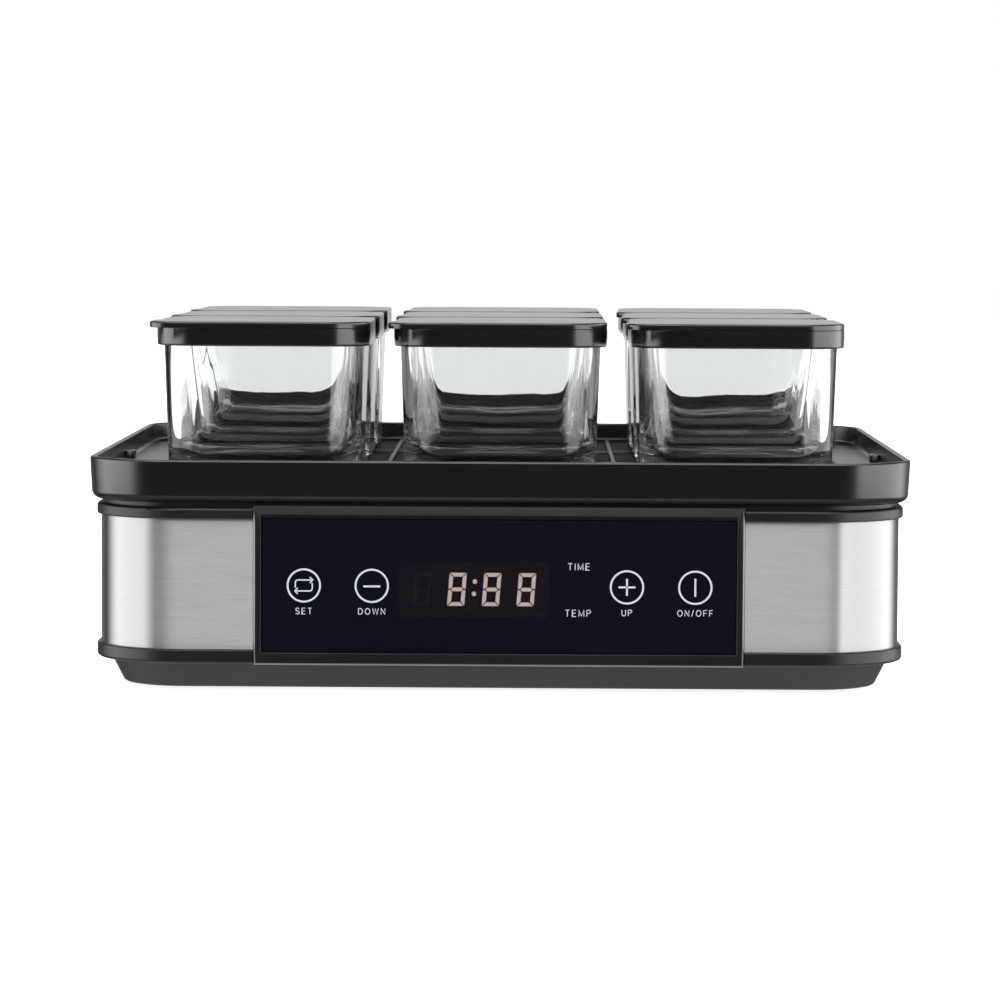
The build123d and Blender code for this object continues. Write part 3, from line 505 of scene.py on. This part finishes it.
# ---- mesh helpers ------------------------------------------------------------------------------
def outline(half_x, half_y, radius, corner_steps=14, side_steps=1):
    """Points round a rounded rectangle, anticlockwise from the low end of the right side."""
    points = []
    centres = ((1, 1, 0), (-1, 1, 90), (-1, -1, 180), (1, -1, 270))
    arcs = []
    for sign_x, sign_y, start in centres:
        arc = []
        for step in range(corner_steps + 1):
            angle = math.radians(start + 90.0 * step / corner_steps)
            arc.append(
                Vector(
                    (
                        sign_x * (half_x - radius) + radius * math.cos(angle),
                        sign_y * (half_y - radius) + radius * math.sin(angle),
                    )
                )
            )
        arcs.append(arc)
    for number, arc in enumerate(arcs):
        points += arc
        after = arcs[(number + 1) % len(arcs)][0]
        points += [arc[-1].lerp(after, step / side_steps) for step in range(1, side_steps)]
    return points


def make_object(name, bm, material, body, replaced=(), smooth_angle=40.0):
    """Turns a bmesh into a piece that rides on a body, with smooth shading except at sharp edges."""
    bmesh.ops.recalc_face_normals(bm, faces=bm.faces)
    if bm.calc_volume(signed=True) < 0.0:
        bmesh.ops.reverse_faces(bm, faces=bm.faces)
    mesh = bpy.data.meshes.new(name)
    bm.to_mesh(mesh)
    bm.free()
    mesh.polygons.foreach_set("use_smooth", [True] * len(mesh.polygons))
    mesh.set_sharp_from_angle(angle=math.radians(smooth_angle))
    piece = bpy.data.objects.new(name, mesh)
    bpy.context.scene.collection.objects.link(piece)
    mesh.materials.append(material)
    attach(piece, body)
    if replaced:
        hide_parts(*replaced)
    return piece


def bridge(bm, rings, cap_first=False, cap_last=False, close=False):
    """Joins rings of points, each a list of Vectors of one length, into a skin."""
    vertex_rings = [[bm.verts.new(point) for point in ring] for ring in rings]
    pairs = list(zip(vertex_rings, vertex_rings[1:]))
    if close:
        pairs.append((vertex_rings[-1], vertex_rings[0]))
    for first, second in pairs:
        count = len(first)
        for index in range(count):
            after = (index + 1) % count
            bm.faces.new((first[index], first[after], second[after], second[index]))
    for wanted, ring in ((cap_first, vertex_rings[0]), (cap_last, vertex_rings[-1])):
        if wanted:
            cap_ring(bm, ring)
    return vertex_rings


def cap_ring(bm, ring):
    """Closes a ring with a shrunken copy of itself and a fan, so that the flat shades evenly."""
    centre = sum((vertex.co for vertex in ring), Vector()) / len(ring)
    inner = [bm.verts.new(vertex.co.lerp(centre, 0.35)) for vertex in ring]
    count = len(ring)
    for index in range(count):
        after = (index + 1) % count
        bm.faces.new((ring[index], ring[after], inner[after], inner[index]))
    middle = bm.verts.new(centre)
    for index in range(count):
        bm.faces.new((inner[index], inner[(index + 1) % count], middle))


def rounded(start, corner, end, radius, steps=5):
    """Points of a profile's rounded corner: an arc between two straight runs, ends included."""
    start, corner, end = Vector(start), Vector(corner), Vector(end)
    first = (start - corner).normalized()
    second = (end - corner).normalized()
    half_angle = first.angle(second) / 2
    reach = radius / math.tan(half_angle)
    centre = corner + (first + second).normalized() * (radius / math.sin(half_angle))
    low = corner + first * reach - centre
    high = corner + second * reach - centre
    return [centre + low.lerp(high, step / steps).normalized() * radius for step in range(steps + 1)]


def profile_points(corners, steps=5):
    """A profile from a list of (inset, z, radius): every corner with a radius becomes an arc."""
    points = []
    for index, (inset, level, radius) in enumerate(corners):
        if radius and 0 < index < len(corners) - 1:
            points += rounded(corners[index - 1][:2], (inset, level), corners[index + 1][:2], radius, steps)
        else:
            points.append(Vector((inset, level)))
    return points


def box_of(node):
    """Half width, half depth, centre x, centre y, lowest z and highest z of a CAD node, in millimetres."""
    low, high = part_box(node)
    half = (high - low) / 2 / MM
    middle = (high + low) / 2 / MM
    return half.x, half.y, middle.x, middle.y, low.z / MM, high.z / MM


def shell_rings(half_x, half_y, radius, profile, centre=(0.0, 0.0), corner_steps=14, side_steps=1):
    """One ring in metres for each point (inset, z) of a profile in millimetres."""
    rings = []
    for inset, level in profile:
        corner = max(radius - inset, 0.4)
        flat = outline(half_x - inset, half_y - inset, corner, corner_steps, side_steps)
        rings.append([Vector(((centre[0] + p.x) * MM, (centre[1] + p.y) * MM, level * MM)) for p in flat])
    return rings


# ---- jar tray ----------------------------------------------------------------------------------
TRAY_WALL = 2.2
TRAY_CORNER = 28.5
TRAY_DRAFT = 0.8
tray_half_x, tray_half_y, _, _, _, rim = box_of("jar_tray")
well = jar_foot / MM
PITCH = 85.0
TRAY_HEIGHT = 15.2
LONG_RIB, SHORT_RIB = 125.0, 118.0
tray_bottom = rim - TRAY_HEIGHT


def add_tray():
    """Gloss black tray: rolled rim, shallow well, rounded lower edge, ribs and lugs in the well."""
    bm = bmesh.new()
    corners = [
        (TRAY_WALL + 12.0, well, 0),
        (TRAY_WALL, well, 1.6),
        (TRAY_WALL - 0.1, rim, 0.8),
        (0.0, rim, 0.9),
        (TRAY_DRAFT, tray_bottom, 3.0),
        (TRAY_DRAFT + 5.2, tray_bottom, 0.5),
        (TRAY_DRAFT + 5.6, well - 2.2, 0.8),
        (TRAY_DRAFT + 20.0, well - 2.2, 0),
    ]
    rings = shell_rings(tray_half_x, tray_half_y, TRAY_CORNER, profile_points(corners, 7), corner_steps=24)
    bridge(bm, rings, True, True)
    for x, y, half_length, along_x in (
        (0.0, -PITCH / 2, LONG_RIB, True),
        (0.0, PITCH / 2, LONG_RIB, True),
        (-PITCH / 2, 0.0, SHORT_RIB, False),
        (PITCH / 2, 0.0, SHORT_RIB, False),
    ):
        half = (half_length, 1.0) if along_x else (1.0, half_length)
        rib = [(0.0, well - 0.5), (0.05, well + 0.8), (0.25, well + 1.1), (0.6, well + 1.2)]
        bridge(bm, shell_rings(half[0], half[1], 1.0, rib, (x, y), 6), True, True)
    for side in (-1, 1):
        lug = [(0.0, well - 0.5), (0.1, well + 2.4), (0.3, well + 2.85), (0.8, well + 3.0)]
        centre = (side * (tray_half_x - TRAY_WALL - 1.6), 0.0)
        bridge(bm, shell_rings(2.0, 5.0, 1.2, lug, centre, 6), True, True)
    make_object("tray_shell", bm, finish["gloss_black"], "root", ["jar_tray"])


add_tray()


# ---- steel band --------------------------------------------------------------------------------
BAND_CORNER = 31.5
BAND_THICKNESS = 0.6


def add_band():
    """Steel strip wrapped round the sides and back, its two ends meeting the bezel."""
    half_x, half_y, _, _, low, high = box_of("steel_band")
    bm = bmesh.new()
    end_x = bezel_high.x / MM + 0.2
    edge = 0.12
    section = [
        (0.0, low + edge),
        (edge, low),
        (BAND_THICKNESS - edge, low),
        (BAND_THICKNESS, low + edge),
        (BAND_THICKNESS, high - edge),
        (BAND_THICKNESS - edge, high),
        (edge, high),
        (0.0, high - edge),
    ]
    tracks = []
    for inset, level in section:
        loop = outline(half_x - inset, half_y - inset, BAND_CORNER - inset, 32, 1)
        path = [Vector((end_x, -(half_y - inset)))]
        path += loop[3 * 33 :]
        path += loop[: 3 * 33]
        path.append(Vector((-end_x, -(half_y - inset))))
        tracks.append([Vector((p.x * MM, p.y * MM, level * MM)) for p in path])
    stations = list(zip(*tracks))
    rings = bridge(bm, [list(station) for station in stations])
    for ring in (rings[0], rings[-1]):
        bm.faces.new(ring)
    make_object("steel_wrap", bm, finish["brushed_steel"], "root", ["steel_band"], 30.0)


add_band()


# ---- jars and lids -----------------------------------------------------------------------------
JAR_CORNER = 15.0
GLASS_BASE = 4.0
BORE_MOUTH = 33.0
BORE_FOOT = 30.5
BORE_CORNER = 11.0
MOUTH_EXTRA = 0.4
BORE_FILLET = 8.0
FOOT_HALF = 34.4
NECK_HALF = 36.0
SHOULDER = 48.2
JAR_HEIGHT = 54.2
BROAD_WAVE = 0.14
NARROW_WAVE = 0.035


def jar_rings():
    """Each ring's (half width, corner radius, height, waviness), up the outside and down the bore."""
    rings = [(22.0, 9.0, 1.1, 0.0), (27.0, 11.0, 0.9, 0.0), (29.2, 12.0, 0.35, 0.0), (30.2, 12.6, 0.05, 0.0)]
    for step in range(9):
        angle = math.radians(90.0 * step / 8)
        half = FOOT_HALF - 3.4 + 3.4 * math.sin(angle)
        rings.append((half, JAR_CORNER - 3.4 + 3.4 * math.sin(angle), 3.4 - 3.4 * math.cos(angle), 0.15))
    rise = SHOULDER - 3.4
    for step in range(1, 15):
        share = step / 14
        half = FOOT_HALF + (NECK_HALF - FOOT_HALF) * share
        rings.append((half, JAR_CORNER + half - FOOT_HALF, 3.4 + rise * share, 0.25))
    rings += [(NECK_HALF, 16.6, 48.6, 0.1), (NECK_HALF + 0.05, 16.6, 48.9, 0.0)]
    rings += [(NECK_HALF + 0.35, 16.9, 49.1, 0.0)]
    rings += [(36.55, 17.1, 49.4, 0.0), (36.55, 17.1, 50.1, 0.0), (36.1, 16.8, 50.5, 0.0), (35.6, 16.4, 50.9, 0.0)]
    rings += [(35.55, 16.3, 53.3, 0.0), (35.3, 16.0, 53.85, 0.0), (34.8, 15.5, JAR_HEIGHT, 0.0)]
    rings += [(33.9, 14.5, JAR_HEIGHT, 0.0), (33.3, 14.1, 53.9, 0.0)]
    rings += [(BORE_MOUTH, BORE_CORNER + MOUTH_EXTRA, 53.3, 0.1)]
    floor_slope = math.radians(10.0)
    floor_level = GLASS_BASE + 1.8
    fillet_level = floor_level + BORE_FILLET * math.cos(floor_slope)
    drop = 53.3 - fillet_level
    for step in range(1, 23):
        share = step / 22
        half = BORE_MOUTH - (BORE_MOUTH - BORE_FOOT) * share
        rings.append((half, BORE_CORNER + MOUTH_EXTRA * (1 - share), 53.3 - drop * share, 1.0))
    for step in range(1, 12):
        angle = math.radians(80.0 * step / 11)
        pull = BORE_FILLET * (1 - math.cos(angle))
        level = fillet_level - BORE_FILLET * math.sin(angle)
        rings.append((BORE_FOOT - pull, max(BORE_CORNER - pull, 4.5), level, 1.0))
    inner = rings[-1][0]
    low_edge = rings[-1][2]
    for step in range(1, 8):
        share = 1.0 - step / 8
        level = GLASS_BASE + (low_edge - GLASS_BASE) * share**1.6
        rings.append((inner * share, max(4.5 * share, 0.5), level, share))
    return rings


def add_jar(number, profile):
    """A square pressed-glass jar: tapering walls, thick uneven base, snap bead under a fire-polished rim."""
    low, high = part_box(f"jar_{number}")
    centre = (low + high) / 2
    bm = bmesh.new()
    seed = Vector((number * 7.3, number * 3.1, 0.0))
    rings = []
    for half, corner, height, wave in profile:
        ring = []
        flat = outline(half, half, corner, 12, 18)
        for point in flat:
            outward = Vector((point.x, point.y, 0.0)).normalized()
            broad = noise.noise(Vector((point.x / 18.0, point.y / 18.0, height / 28.0)) + seed)
            narrow = noise.noise(Vector((point.x / 4.0, point.y / 4.0, height / 90.0)) + seed * 2.0)
            push = BROAD_WAVE * broad + NARROW_WAVE * narrow
            spot = Vector((point.x, point.y, height)) + outward * push * wave
            ring.append(Vector((centre.x + spot.x * MM, centre.y + spot.y * MM, low.z + spot.z * MM)))
        rings.append(ring)
    bridge(bm, rings, True, True)
    make_object(f"glass_jar_{number}", bm, finish["jar_glass"], f"jar_body_{number}", [f"jar_{number}"], 60.0)


LID_HALF = 38.25
LID_CORNER = 16.5
TAB_EDGE = 40.05
TAB_START = 12.0
TAB_CORNER = 7.0
LID_SIDE_STEPS = 10
LID_CORNER_STEPS = 14


def resample(points, count):
    """count points spaced evenly along a polyline, both ends included."""
    lengths = [0.0]
    for first, second in zip(points, points[1:]):
        lengths.append(lengths[-1] + (second - first).length)
    result = []
    index = 0
    for step in range(count):
        wanted = lengths[-1] * step / (count - 1)
        while index < len(points) - 2 and lengths[index + 1] < wanted:
            index += 1
        span = lengths[index + 1] - lengths[index]
        result.append(points[index].lerp(points[index + 1], (wanted - lengths[index]) / span))
    return result


def lid_outline(inset, tab):
    """The lid's outline; tab is how far, from 0 to 1, its front left corner is drawn out into the lift tab."""
    plain = outline(LID_HALF - inset, LID_HALF - inset, LID_CORNER - inset, LID_CORNER_STEPS, LID_SIDE_STEPS)
    if not tab:
        return plain
    edge = TAB_EDGE - inset
    flat = LID_HALF - inset
    turn = edge - TAB_CORNER
    path = [Vector((-flat, -TAB_START + 4.0)), Vector((-flat, -TAB_START))]
    for step in range(1, 9):
        share = step / 8
        rise = share * share * (3 - 2 * share)
        path.append(Vector((-flat - (edge - flat) * rise, -TAB_START - 12.0 * share)))
    for step in range(13):
        angle = math.radians(180.0 + 90.0 * step / 12)
        path.append(Vector((-turn + TAB_CORNER * math.cos(angle), -turn + TAB_CORNER * math.sin(angle))))
    for step in range(1, 9):
        share = 1 - step / 8
        rise = share * share * (3 - 2 * share)
        path.append(Vector((-TAB_START - 12.0 * share, -flat - (edge - flat) * rise)))
    path.append(Vector((-TAB_START + 4.0, -flat)))
    first = min(range(len(plain)), key=lambda i: (plain[i] - path[0]).length)
    last = min(range(len(plain)), key=lambda i: (plain[i] - path[-1]).length)
    path[0], path[-1] = plain[first], plain[last]
    drawn = list(plain)
    for index, point in enumerate(resample(path, last - first + 1)):
        drawn[first + index] = plain[first + index].lerp(point, tab)
    return drawn


def add_lid(number):
    """A flat black lid: skirt with a soft lower edge, lift tab, and a sealing ring inside."""
    low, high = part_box(f"lid_{number}")
    jar_low_corner, jar_high_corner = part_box(f"jar_{number}")
    centre = (jar_low_corner + jar_high_corner) / 2
    top = high.z / MM
    foot = low.z / MM
    rings = []
    outer = [
        (0.55, foot, 0.0),
        (0.2, foot + 0.12, 0.0),
        (0.05, foot + 0.45, 0.0),
        (0.0, foot + 1.0, 0.0),
        (0.0, top - 2.65, 0.0),
        (0.02, top - 2.45, 0.05),
        (0.3, top - 2.38, 0.85),
        (0.05, top - 2.2, 1.0),
        (0.0, top - 0.7, 1.0),
        (0.08, top - 0.35, 1.0),
        (0.28, top - 0.12, 1.0),
        (0.6, top - 0.02, 1.0),
        (1.1, top, 1.0),
        (2.2, top, 1.0),
    ]
    inner = [(1.35, foot, 0.0), (1.4, foot + 0.4, 0.0), (1.4, top - 2.4, 0.0), (1.8, top - 2.0, 0.0)]
    inner += [(5.6, top - 2.0, 0.0), (6.3, top - 2.3, 0.0), (6.5, top - 5.4, 0.0), (6.8, top - 6.0, 0.0)]
    inner += [(7.4, top - 6.0, 0.0), (7.7, top - 5.4, 0.0), (7.8, top - 2.3, 0.0), (8.4, top - 2.0, 0.0)]
    inner += [(12.0, top - 2.0, 0.0)]
    bm = bmesh.new()
    for inset, level, tab in inner[::-1] + outer:
        flat = lid_outline(inset, tab)
        rings.append([Vector((centre.x + p.x * MM, centre.y + p.y * MM, level * MM)) for p in flat])
    bridge(bm, rings, True, True)
    make_object(f"jar_cap_{number}", bm, finish["lid_plastic"], f"lid_body_{number}", [f"lid_{number}"], 50.0)


glass_profile = jar_rings()
for number in range(1, 10):
    add_jar(number, glass_profile)
    add_lid(number)


# ---- control panel frame -----------------------------------------------------------------------
FRAME_END = 6.0
# Each step round the frame's section: inset and depth behind the front, at its sides, top and bottom.
FRAME_SECTION = (
    ((0.0, 3.2), (0.0, 3.2), (0.0, 3.2)),
    ((0.0, 0.75), (0.0, 1.75), (0.0, 1.2)),
    ((0.08, 0.62), (0.15, 1.4), (0.12, 0.95)),
    ((0.62, 0.08), (0.5, 1.2), (0.7, 0.2)),
    ((0.75, 0.0), (0.9, 1.05), (1.0, 0.02)),
    ((2.3, 0.0), (2.9, 0.16), (3.9, 0.0)),
    ((2.55, 0.05), (3.2, 0.08), (4.2, 0.05)),
    ((2.75, 0.25), (3.4, 0.3), (4.45, 0.25)),
    ((2.8, 0.7), (3.45, 1.05), (4.5, 0.7)),
    ((2.85, 0.9), (4.5, 1.15), (4.55, 0.9)),
    ((2.9, 2.0), (4.6, 2.0), (4.6, 2.0)),
    ((11.2, 2.0), (15.2, 2.0), (15.2, 2.0)),
    ((11.2, 3.2), (15.2, 3.2), (15.2, 3.2)),
    ((5.7, 3.2), (9.4, 3.2), (9.4, 3.2)),
    ((5.6, 13.1), (9.3, 13.1), (9.3, 13.1)),
    ((4.2, 13.1), (8.0, 13.1), (8.0, 13.1)),
    ((4.1, 3.3), (7.9, 3.3), (7.9, 3.3)),
)


def add_panel_frame():
    """The frame round the glass: bevelled edges, a top strip that leans back, a ledge and a skirt behind."""
    low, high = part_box("control_bezel")
    left, bottom, front = low.x / MM, low.z / MM, low.y / MM
    right, top = high.x / MM, high.z / MM
    rings = []
    for (side_in, side_deep), (top_in, top_deep), (foot_in, foot_deep) in FRAME_SECTION:
        x0, x1 = left + side_in, right - side_in
        z0, z1 = bottom + foot_in, top - top_in
        spots = [
            (x1, z0, foot_deep),
            (x1, z0 + FRAME_END, side_deep),
            (x1, z1 - FRAME_END, side_deep),
            (x1, z1, top_deep),
            (x0, z1, top_deep),
            (x0, z1 - FRAME_END, side_deep),
            (x0, z0 + FRAME_END, side_deep),
            (x0, z0, foot_deep),
        ]
        rings.append([Vector((x * MM, (front + deep) * MM, z * MM)) for x, z, deep in spots])
    bm = bmesh.new()
    bridge(bm, rings, close=True)
    make_object("panel_frame", bm, finish["bezel_plastic"], "root", ["control_bezel"], 28.0)


add_panel_frame()


# ---- control panel printing --------------------------------------------------------------------
INK_THICKNESS = 0.03
panel_z = (glass_low.z + glass_high.z) / 2 / MM
ink_front = glass_low.y / MM - INK_THICKNESS
KEYS = (-69.1, -45.0, 45.4, 69.6)
KEY_RISE = 0.1
KEY_RADIUS = 5.75
LINE = 0.66
LOOP_LINE = 0.46


def stroke(bm, points, width, closed=False):
    """A printed line: a thin raised strip along points (x, z) about the panel's centre, in millimetres."""
    count = len(points)
    left, right = [], []
    for index, point in enumerate(points):
        before = points[index - 1] if closed or index else points[index]
        after = points[(index + 1) % count] if closed or index < count - 1 else points[index]
        along = (after - before).normalized()
        across = Vector((-along.y, along.x))
        first = (point - before).normalized() if (point - before).length else along
        bend = max(0.5, along.dot(first))
        left.append(point + across * width / 2 / bend)
        right.append(point - across * width / 2 / bend)
    def at(p, y):
        return Vector((p.x * MM, y * MM, (panel_z + p.y) * MM))
    back = glass_low.y / MM + 0.01
    rings = [[at(a, ink_front), at(b, ink_front), at(b, back), at(a, back)] for a, b in zip(left, right)]
    made = bridge(bm, rings, close=closed)
    if not closed:
        bm.faces.new(made[0])
        bm.faces.new(made[-1])


def circle_points(x, z, radius, start=0.0, turn=360.0, steps=48):
    """Points along an arc about (x, z)."""
    angles = [math.radians(start + turn * step / steps) for step in range(steps + (turn < 360.0))]
    return [Vector((x + radius * math.cos(a), z + radius * math.sin(a))) for a in angles]


def line(x0, z0, x1, z1):
    return [Vector((x0, z0)), Vector((x1, z1))]


def add_icons():
    """A ring round each key, and in it a repeat loop, a minus, a plus and an on bar."""
    bm = bmesh.new()
    for x in KEYS:
        stroke(bm, circle_points(x, KEY_RISE, KEY_RADIUS), LINE, True)
    x = KEYS[0]
    top, reach, bend = KEY_RISE + 1.95, 3.0, 1.0
    upper = line(x - reach, KEY_RISE - 0.9, x - reach, top - bend)
    upper += circle_points(x - reach + bend, top - bend, bend, 180.0, -90.0, 6)
    upper += line(x, top, x + reach - 0.1, top)
    lower = [Vector((2 * x - p.x, 2 * KEY_RISE - p.y)) for p in upper]
    for path, side in ((upper, 1), (lower, -1)):
        stroke(bm, path, LOOP_LINE)
        tip = path[-1] + Vector((side * 0.35, 0.0))
        for rise in (-1, 1):
            stroke(bm, [tip, tip + Vector((-side * 1.15, rise * 1.05))], LOOP_LINE - 0.04)
    stroke(bm, line(KEYS[1] - 3.0, KEY_RISE - 0.2, KEYS[1] + 3.0, KEY_RISE - 0.2), LINE)
    stroke(bm, line(KEYS[2] - 3.0, KEY_RISE, KEYS[2] + 3.0, KEY_RISE), LINE)
    stroke(bm, line(KEYS[2], KEY_RISE - 3.0, KEYS[2], KEY_RISE + 3.0), LINE)
    stroke(bm, line(KEYS[3], KEY_RISE - 3.2, KEYS[3], KEY_RISE + 3.2), LINE)
    icons = make_object("key_icons", bm, white_ink_and_painted_glow, "root", smooth_angle=30.0)


def arc(x, z, radius_x, radius_z, start, turn, steps=8):
    """Points of an elliptical arc in a letter's own square, turning by turn degrees from start."""
    angles = [math.radians(start + turn * step / steps) for step in range(steps + 1)]
    return [(x + radius_x * math.cos(a), z + radius_z * math.sin(a)) for a in angles]


# Plain capitals as pen strokes: each letter's width, then its strokes, in heights of a capital.
LETTERS = {
    "D": (0.68, [[(0.0, 0.0), (0.0, 1.0)] + arc(0.26, 0.5, 0.42, 0.5, 90.0, -180.0) + [(0.0, 0.0)]]),
    "E": (0.56, [[(0.56, 0.0), (0.0, 0.0), (0.0, 1.0), (0.56, 1.0)], [(0.0, 0.52), (0.5, 0.52)]]),
    "F": (0.54, [[(0.0, 0.0), (0.0, 1.0), (0.54, 1.0)], [(0.0, 0.5), (0.47, 0.5)]]),
    "I": (0.0, [[(0.0, 0.0), (0.0, 1.0)]]),
    "M": (0.76, [[(0.0, 0.0), (0.0, 1.0), (0.38, 0.12), (0.76, 1.0), (0.76, 0.0)]]),
    "N": (0.66, [[(0.0, 0.0), (0.0, 1.0), (0.66, 0.0), (0.66, 1.0)]]),
    "O": (0.8, [arc(0.4, 0.5, 0.4, 0.5, 90.0, 360.0, 20)]),
    "P": (0.58, [[(0.0, 0.0), (0.0, 1.0)] + arc(0.3, 0.75, 0.28, 0.25, 90.0, -180.0) + [(0.0, 0.5)]]),
    "S": (0.6, [arc(0.3, 0.75, 0.28, 0.25, 20.0, 250.0, 10) + arc(0.3, 0.25, 0.3, 0.25, 90.0, -250.0, 10)]),
    "T": (0.64, [[(0.0, 1.0), (0.64, 1.0)], [(0.32, 1.0), (0.32, 0.0)]]),
    "U": (0.64, [[(0.0, 1.0), (0.0, 0.32)] + arc(0.32, 0.32, 0.32, 0.32, 180.0, 180.0) + [(0.64, 1.0)]]),
    "W": (0.98, [[(0.0, 1.0), (0.25, 0.0), (0.49, 0.96), (0.73, 0.0), (0.98, 1.0)]]),
    "/": (0.34, [[(0.0, -0.06), (0.34, 1.06)]]),
}
LETTER_GAP = 0.45
LABEL_LINE = 0.27


def add_label(name, text, x, z, height):
    """A word in plain capitals, printed on the glass with its middle at (x, z)."""
    bm = bmesh.new()
    width = sum(LETTERS[letter][0] for letter in text) + LETTER_GAP * (len(text) - 1)
    pen = x - width * height / 2
    for letter in text:
        across, strokes = LETTERS[letter]
        for points in strokes:
            spots = [Vector((pen + a * height, z + (b - 0.5) * height)) for a, b in points]
            spots = [spot for i, spot in enumerate(spots) if not i or (spot - spots[i - 1]).length > 0.02]
            stroke(bm, spots, LABEL_LINE)
        pen += (across + LETTER_GAP) * height
    label = make_object(name, bm, white_ink_and_painted_glow, "root", smooth_angle=30.0)


LABEL_DROP = -9.0
LABEL_HEIGHT = 2.1
UNIT_HEIGHT = 2.3
add_icons()
key_labels = (("set", "SET"), ("down", "DOWN"), ("up", "UP"), ("on_off", "ON/OFF"))
for x, (name, text) in zip(KEYS, key_labels):
    add_label(f"label_{name}", text, x, LABEL_DROP, LABEL_HEIGHT)
add_label("label_time", "TIME", 28.3, 7.3, UNIT_HEIGHT)
add_label("label_temp", "TEMP", 28.1, -9.25, UNIT_HEIGHT)
